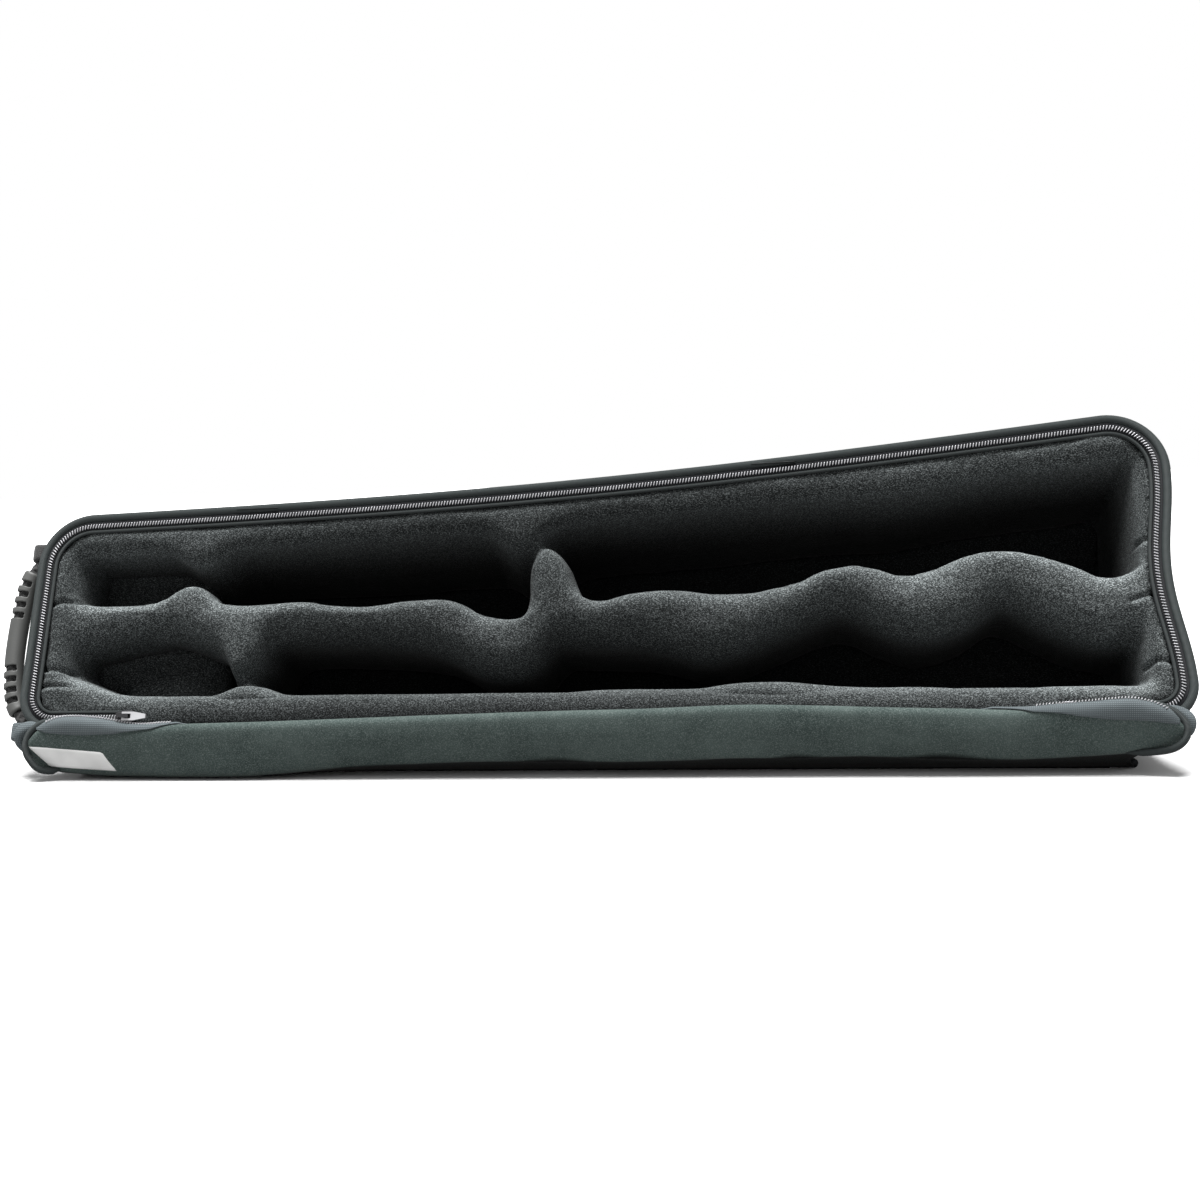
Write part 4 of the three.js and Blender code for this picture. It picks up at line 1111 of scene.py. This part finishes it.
def pinched(obj):
    """Draws the panel's ends in towards the fold, where the zip lets go of it."""
    points = from_row(coordinates(obj), PANEL)
    near_fold = 1 - smooth_step(0, PINCH_RUN, points[:, 1] - FOLD_U)
    at_end = smooth_step(CASE_LENGTH / 4, CASE_LENGTH / 2, np.abs(points[:, 0]))
    points[:, 0] -= np.sign(points[:, 0]) * PINCH * near_fold * at_end
    set_coordinates(obj, to_row(points, PANEL))
    return obj


def panel_trim():
    piping = round_profile(-PIPING_OUT, LID_PIPING_LIFT, PIPING_RADIUS)
    tape = [
        [LID_TAPE_OUT, LID_TAPE_BOTTOM], [LID_TAPE_IN, LID_TAPE_BOTTOM],
        [LID_TAPE_IN, LID_TAPE_TOP], [LID_TAPE_OUT, LID_TAPE_TOP],
    ]
    for name, profile, slot, node in (
        ("lid_piping_cover", piping, "cover", "lid_piping"),
        ("lid_tape_cloth", tape, "tape", "lid_zip_tape"),
    ):
        obj = pinched(tube_object(name, to_row(panel_rows(profile), PANEL)))
        finished(obj, "lid_panel", TAPE, slot, node)
    line = panel_rows([[0, LID_CHAIN_MIDDLE]])[:, 0]
    obj = pinched(teeth("lid_chain_teeth", line, (0, 0, -1), PANEL))
    finished(obj, "lid_panel", COIL, "coil", "lid_zip_chain")


on_panel = {"body": "lid_panel", "rounds": 5}
pinched(soft_copy("panel_cover", COVER, "cover", "lid_panel_shell", voxel=2.2, growth=0.3, **on_panel))
panel_pad = soft_copy("panel_cushion", SUEDE, "suede", "lid_panel_pad", voxel=3.0, cap=1.5, **on_panel)
pinched(panel_pad)
panel_trim()
soft_copy("hinge_roll_cover", COVER, "cover", "hinge_roll", voxel=1.2, rounds=6, growth=0.2)

# Handle: a braided rope in a slotted grip, turning in two cloth sleeves

HANDLE_OUT = 11
HANDLE_SPAN = 118
HANDLE_DROP = 15
ROPE_RADIUS = 4
BRAID_PITCH = 5.5
BRAID_RELIEF = 0.36
BRAID_DROP = 0.32
GRIP_RADIUS = 6.3
GRIP_START, GRIP_END = 0.15, 0.86
GRIP_STEPS = 120
GRIP_VOXEL = 0.42
BORE_GAP = 0.3
SEWN_SHARE = 0.35
SLOT_COUNT = 4
SLOT_PITCH = 7.4
SLOT_WIDTH = 4
FIRST_SLOT = 1.15
SPINE_SHARE = 0.62
SLOT_DEPTH = 1
SLOT_REACH = 19
handle_shares = [
    (0, 1.03), (0, 0.93), (0.42, 0.87), (0.78, 0.77), (0.96, 0.62), (1.04, 0.4), (0.91, 0.22), (0.64, 0.11),
    (0.24, 0.045), (0.02, 0), (0, -0.05), (0, -0.1),
]
handle_x = -CASE_LENGTH / 2 - HANDLE_OUT
handle_places = [(handle_x - HANDLE_OUT * out, HANDLE_SPAN * up, -HANDLE_DROP) for out, up in handle_shares]
handle_line = smooth_line(handle_places, 600)
handle_length = run_of(handle_line)[-1]


def handle_rope():
    """Crossing strands raised on the rope's surface: four ridges wind each way."""
    count, sides = 420, 48
    points = at_shares(handle_line, 0, 1, count)
    wound = np.linspace(0, 1, count)[:, None] * handle_length * 2 * math.pi / BRAID_PITCH
    angle = round_angles(sides)[None, :]
    relief = np.maximum(np.sin(4 * angle + wound), np.sin(4 * angle - wound))
    radius = ROPE_RADIUS - BRAID_DROP + BRAID_RELIEF * relief
    rows = to_row(tube_rows(points, radius, sides), TRAY)
    obj = tube_object("handle_rope_cord", rows)
    finished(obj, "handle", BRAID, "cordage", "handle_rope")


def slot_cutter(place, tangent):
    """A box that leaves the grip's outer side whole, and is as long along the rope as one slot."""
    way = np.array([tangent[0], tangent[1], 0])
    way /= np.linalg.norm(way)
    across = np.array([way[1], -way[0], 0])
    up = np.array([0, 0, 1])
    spine = -SPINE_SHARE * GRIP_RADIUS
    points = [
        place + across * a + way * b + up * c
        for a in (spine, spine + 3 * GRIP_RADIUS)
        for b in (-SLOT_WIDTH / 2, SLOT_WIDTH / 2)
        for c in (-SLOT_DEPTH, SLOT_REACH)
    ]
    faces = [(0, 1, 3, 2), (4, 6, 7, 5), (0, 4, 5, 1), (2, 3, 7, 6), (0, 2, 6, 4), (1, 5, 7, 3)]
    obj = mesh_object("cutter", to_row(points, TRAY), faces, smooth=False)
    outward(obj)
    return obj


def handle_grip():
    """The moulded grip, open to the rope in rows of slots that stop short of its outer side."""
    tube = at_shares(handle_line, GRIP_START, GRIP_END, GRIP_STEPS)
    share = np.linspace(0, 1, GRIP_STEPS)
    radius = GRIP_RADIUS - 0.9 * (1 - smooth_step(0, 0.012, np.minimum(share, 1 - share)))
    obj = tube_object("handle_grip_cover", to_row(tube_rows(tube, radius, 48), TRAY))
    bore = at_shares(handle_line, GRIP_START / 2, (1 + GRIP_END) / 2, 90)
    cutters = [tube_object("cutter", to_row(tube_rows(bore, ROPE_RADIUS + BORE_GAP, 32), TRAY))]
    for i in range(SLOT_COUNT):
        for start, way in ((GRIP_START, 1), (GRIP_END, -1)):
            at = start + way * (i + FIRST_SLOT) * SLOT_PITCH / handle_length
            place, ahead = at_shares(handle_line, at, at + 0.002, 2)
            cutters.append(slot_cutter(place, ahead - place))
    for cutter in cutters:
        add_modifier(obj, "BOOLEAN", object=cutter, operation="DIFFERENCE", solver="EXACT")
        settle(obj)
        bpy.data.objects.remove(cutter)
    worn_round(obj, GRIP_VOXEL, 4)
    finished(obj, "handle", RUBBER, "rubber", "handle_grip")


def strap_webbing(end):
    """A strap tab's webbing, thinner where it is sewn down near the rim than round its ring."""
    source = "strap_tab_" + end
    tab = soft_copy("strap_webbing_" + end, WEBBING, "cover", source, voxel=0.7, rounds=4, growth=0.2)
    webbing = from_row(coordinates(tab), TRAY)
    wall = webbing[:, 1].min()
    full = SEWN_SHARE + (1 - SEWN_SHARE) * smooth_step(12, 24, -webbing[:, 2])
    webbing[:, 1] = wall + (webbing[:, 1] - wall) * full
    set_coordinates(tab, to_row(webbing, TRAY))


handle_rope()
handle_grip()
for end, cloth in (("far", BRAID), ("hinge", LENS)):
    source = "handle_sleeve_" + end
    soft_copy("sleeve_cover_" + end, cloth, "cover", source, voxel=0.9, rounds=18, growth=0.9)
for end in ("neck", "bell"):
    strap_webbing(end)

# Floor, backdrop and light

FLOOR_REACH = 12


def stage_floor(shown, bounced):
    """A floor that looks white to the camera and sends less light back up under the case."""
    places = np.linspace(-FLOOR_REACH, FLOOR_REACH, 9)
    floor = grid_object("studio_floor", [[(x, y, 0) for y in places] for x in places])
    white = look("studio_white", [shown] * 3, 0.9, Specular_IOR_Level=0.0)
    rays = add_node(white, "ShaderNodeLightPath").outputs["Is Camera Ray"]
    connect(white, mix_output(white, rays, [bounced] * 3, [shown] * 3))
    floor.data.materials.append(white)


def sun_light(name, azimuth, elevation, spread, strength):
    """A soft sun from an azimuth, where 0 is the front and 90 the left, and an elevation, in degrees."""
    light = bpy.data.lights.new(name, "SUN")
    light.angle = math.radians(spread)
    light.energy = strength
    obj = linked(name, light)
    a, e = math.radians(azimuth), math.radians(elevation)
    way = Vector((-math.sin(a) * math.cos(e), -math.cos(a) * math.cos(e), math.sin(e)))
    obj.rotation_euler = way.to_track_quat("Z", "Y").to_euler()


def studio_world(fill, shown):
    """A white surround: what shows behind the object is white, and what it gives as fill is softer."""
    world = bpy.data.worlds.new("studio")
    world.use_nodes = True
    background = world.node_tree.nodes["Background"]
    background.inputs["Color"].default_value = (1, 1, 1, 1)
    rays = add_node(world, "ShaderNodeLightPath").outputs["Is Camera Ray"]
    level = add_node(world, "ShaderNodeMapRange", {"Value": rays}, To_Min=fill, To_Max=shown)
    world.node_tree.links.new(level.outputs["Result"], background.inputs["Strength"])
    bpy.context.scene.world = world


stage_floor(shown=0.95, bounced=0.3)
sun_light("key", azimuth=10, elevation=80, spread=32, strength=6.4)
studio_world(fill=0.46, shown=1.0)
bpy.context.scene.view_settings.view_transform = "Standard"

# CAD nodes that keep their shape

for end in ("neck", "bell"):
    for node_name, steel in (("slider_body_", NICKEL), ("pull_tab_", STEEL), ("strap_ring_", STEEL)):
        node = nodes[node_name + end]
        node.data.materials.clear()
        node.data.materials.append(steel)
        if node_name == "strap_ring_":
            add_modifier(node, "SUBSURF", levels=2, render_levels=2)
        else:
            add_modifier(node, "BEVEL", width=0.0003, segments=3, limit_method="ANGLE")
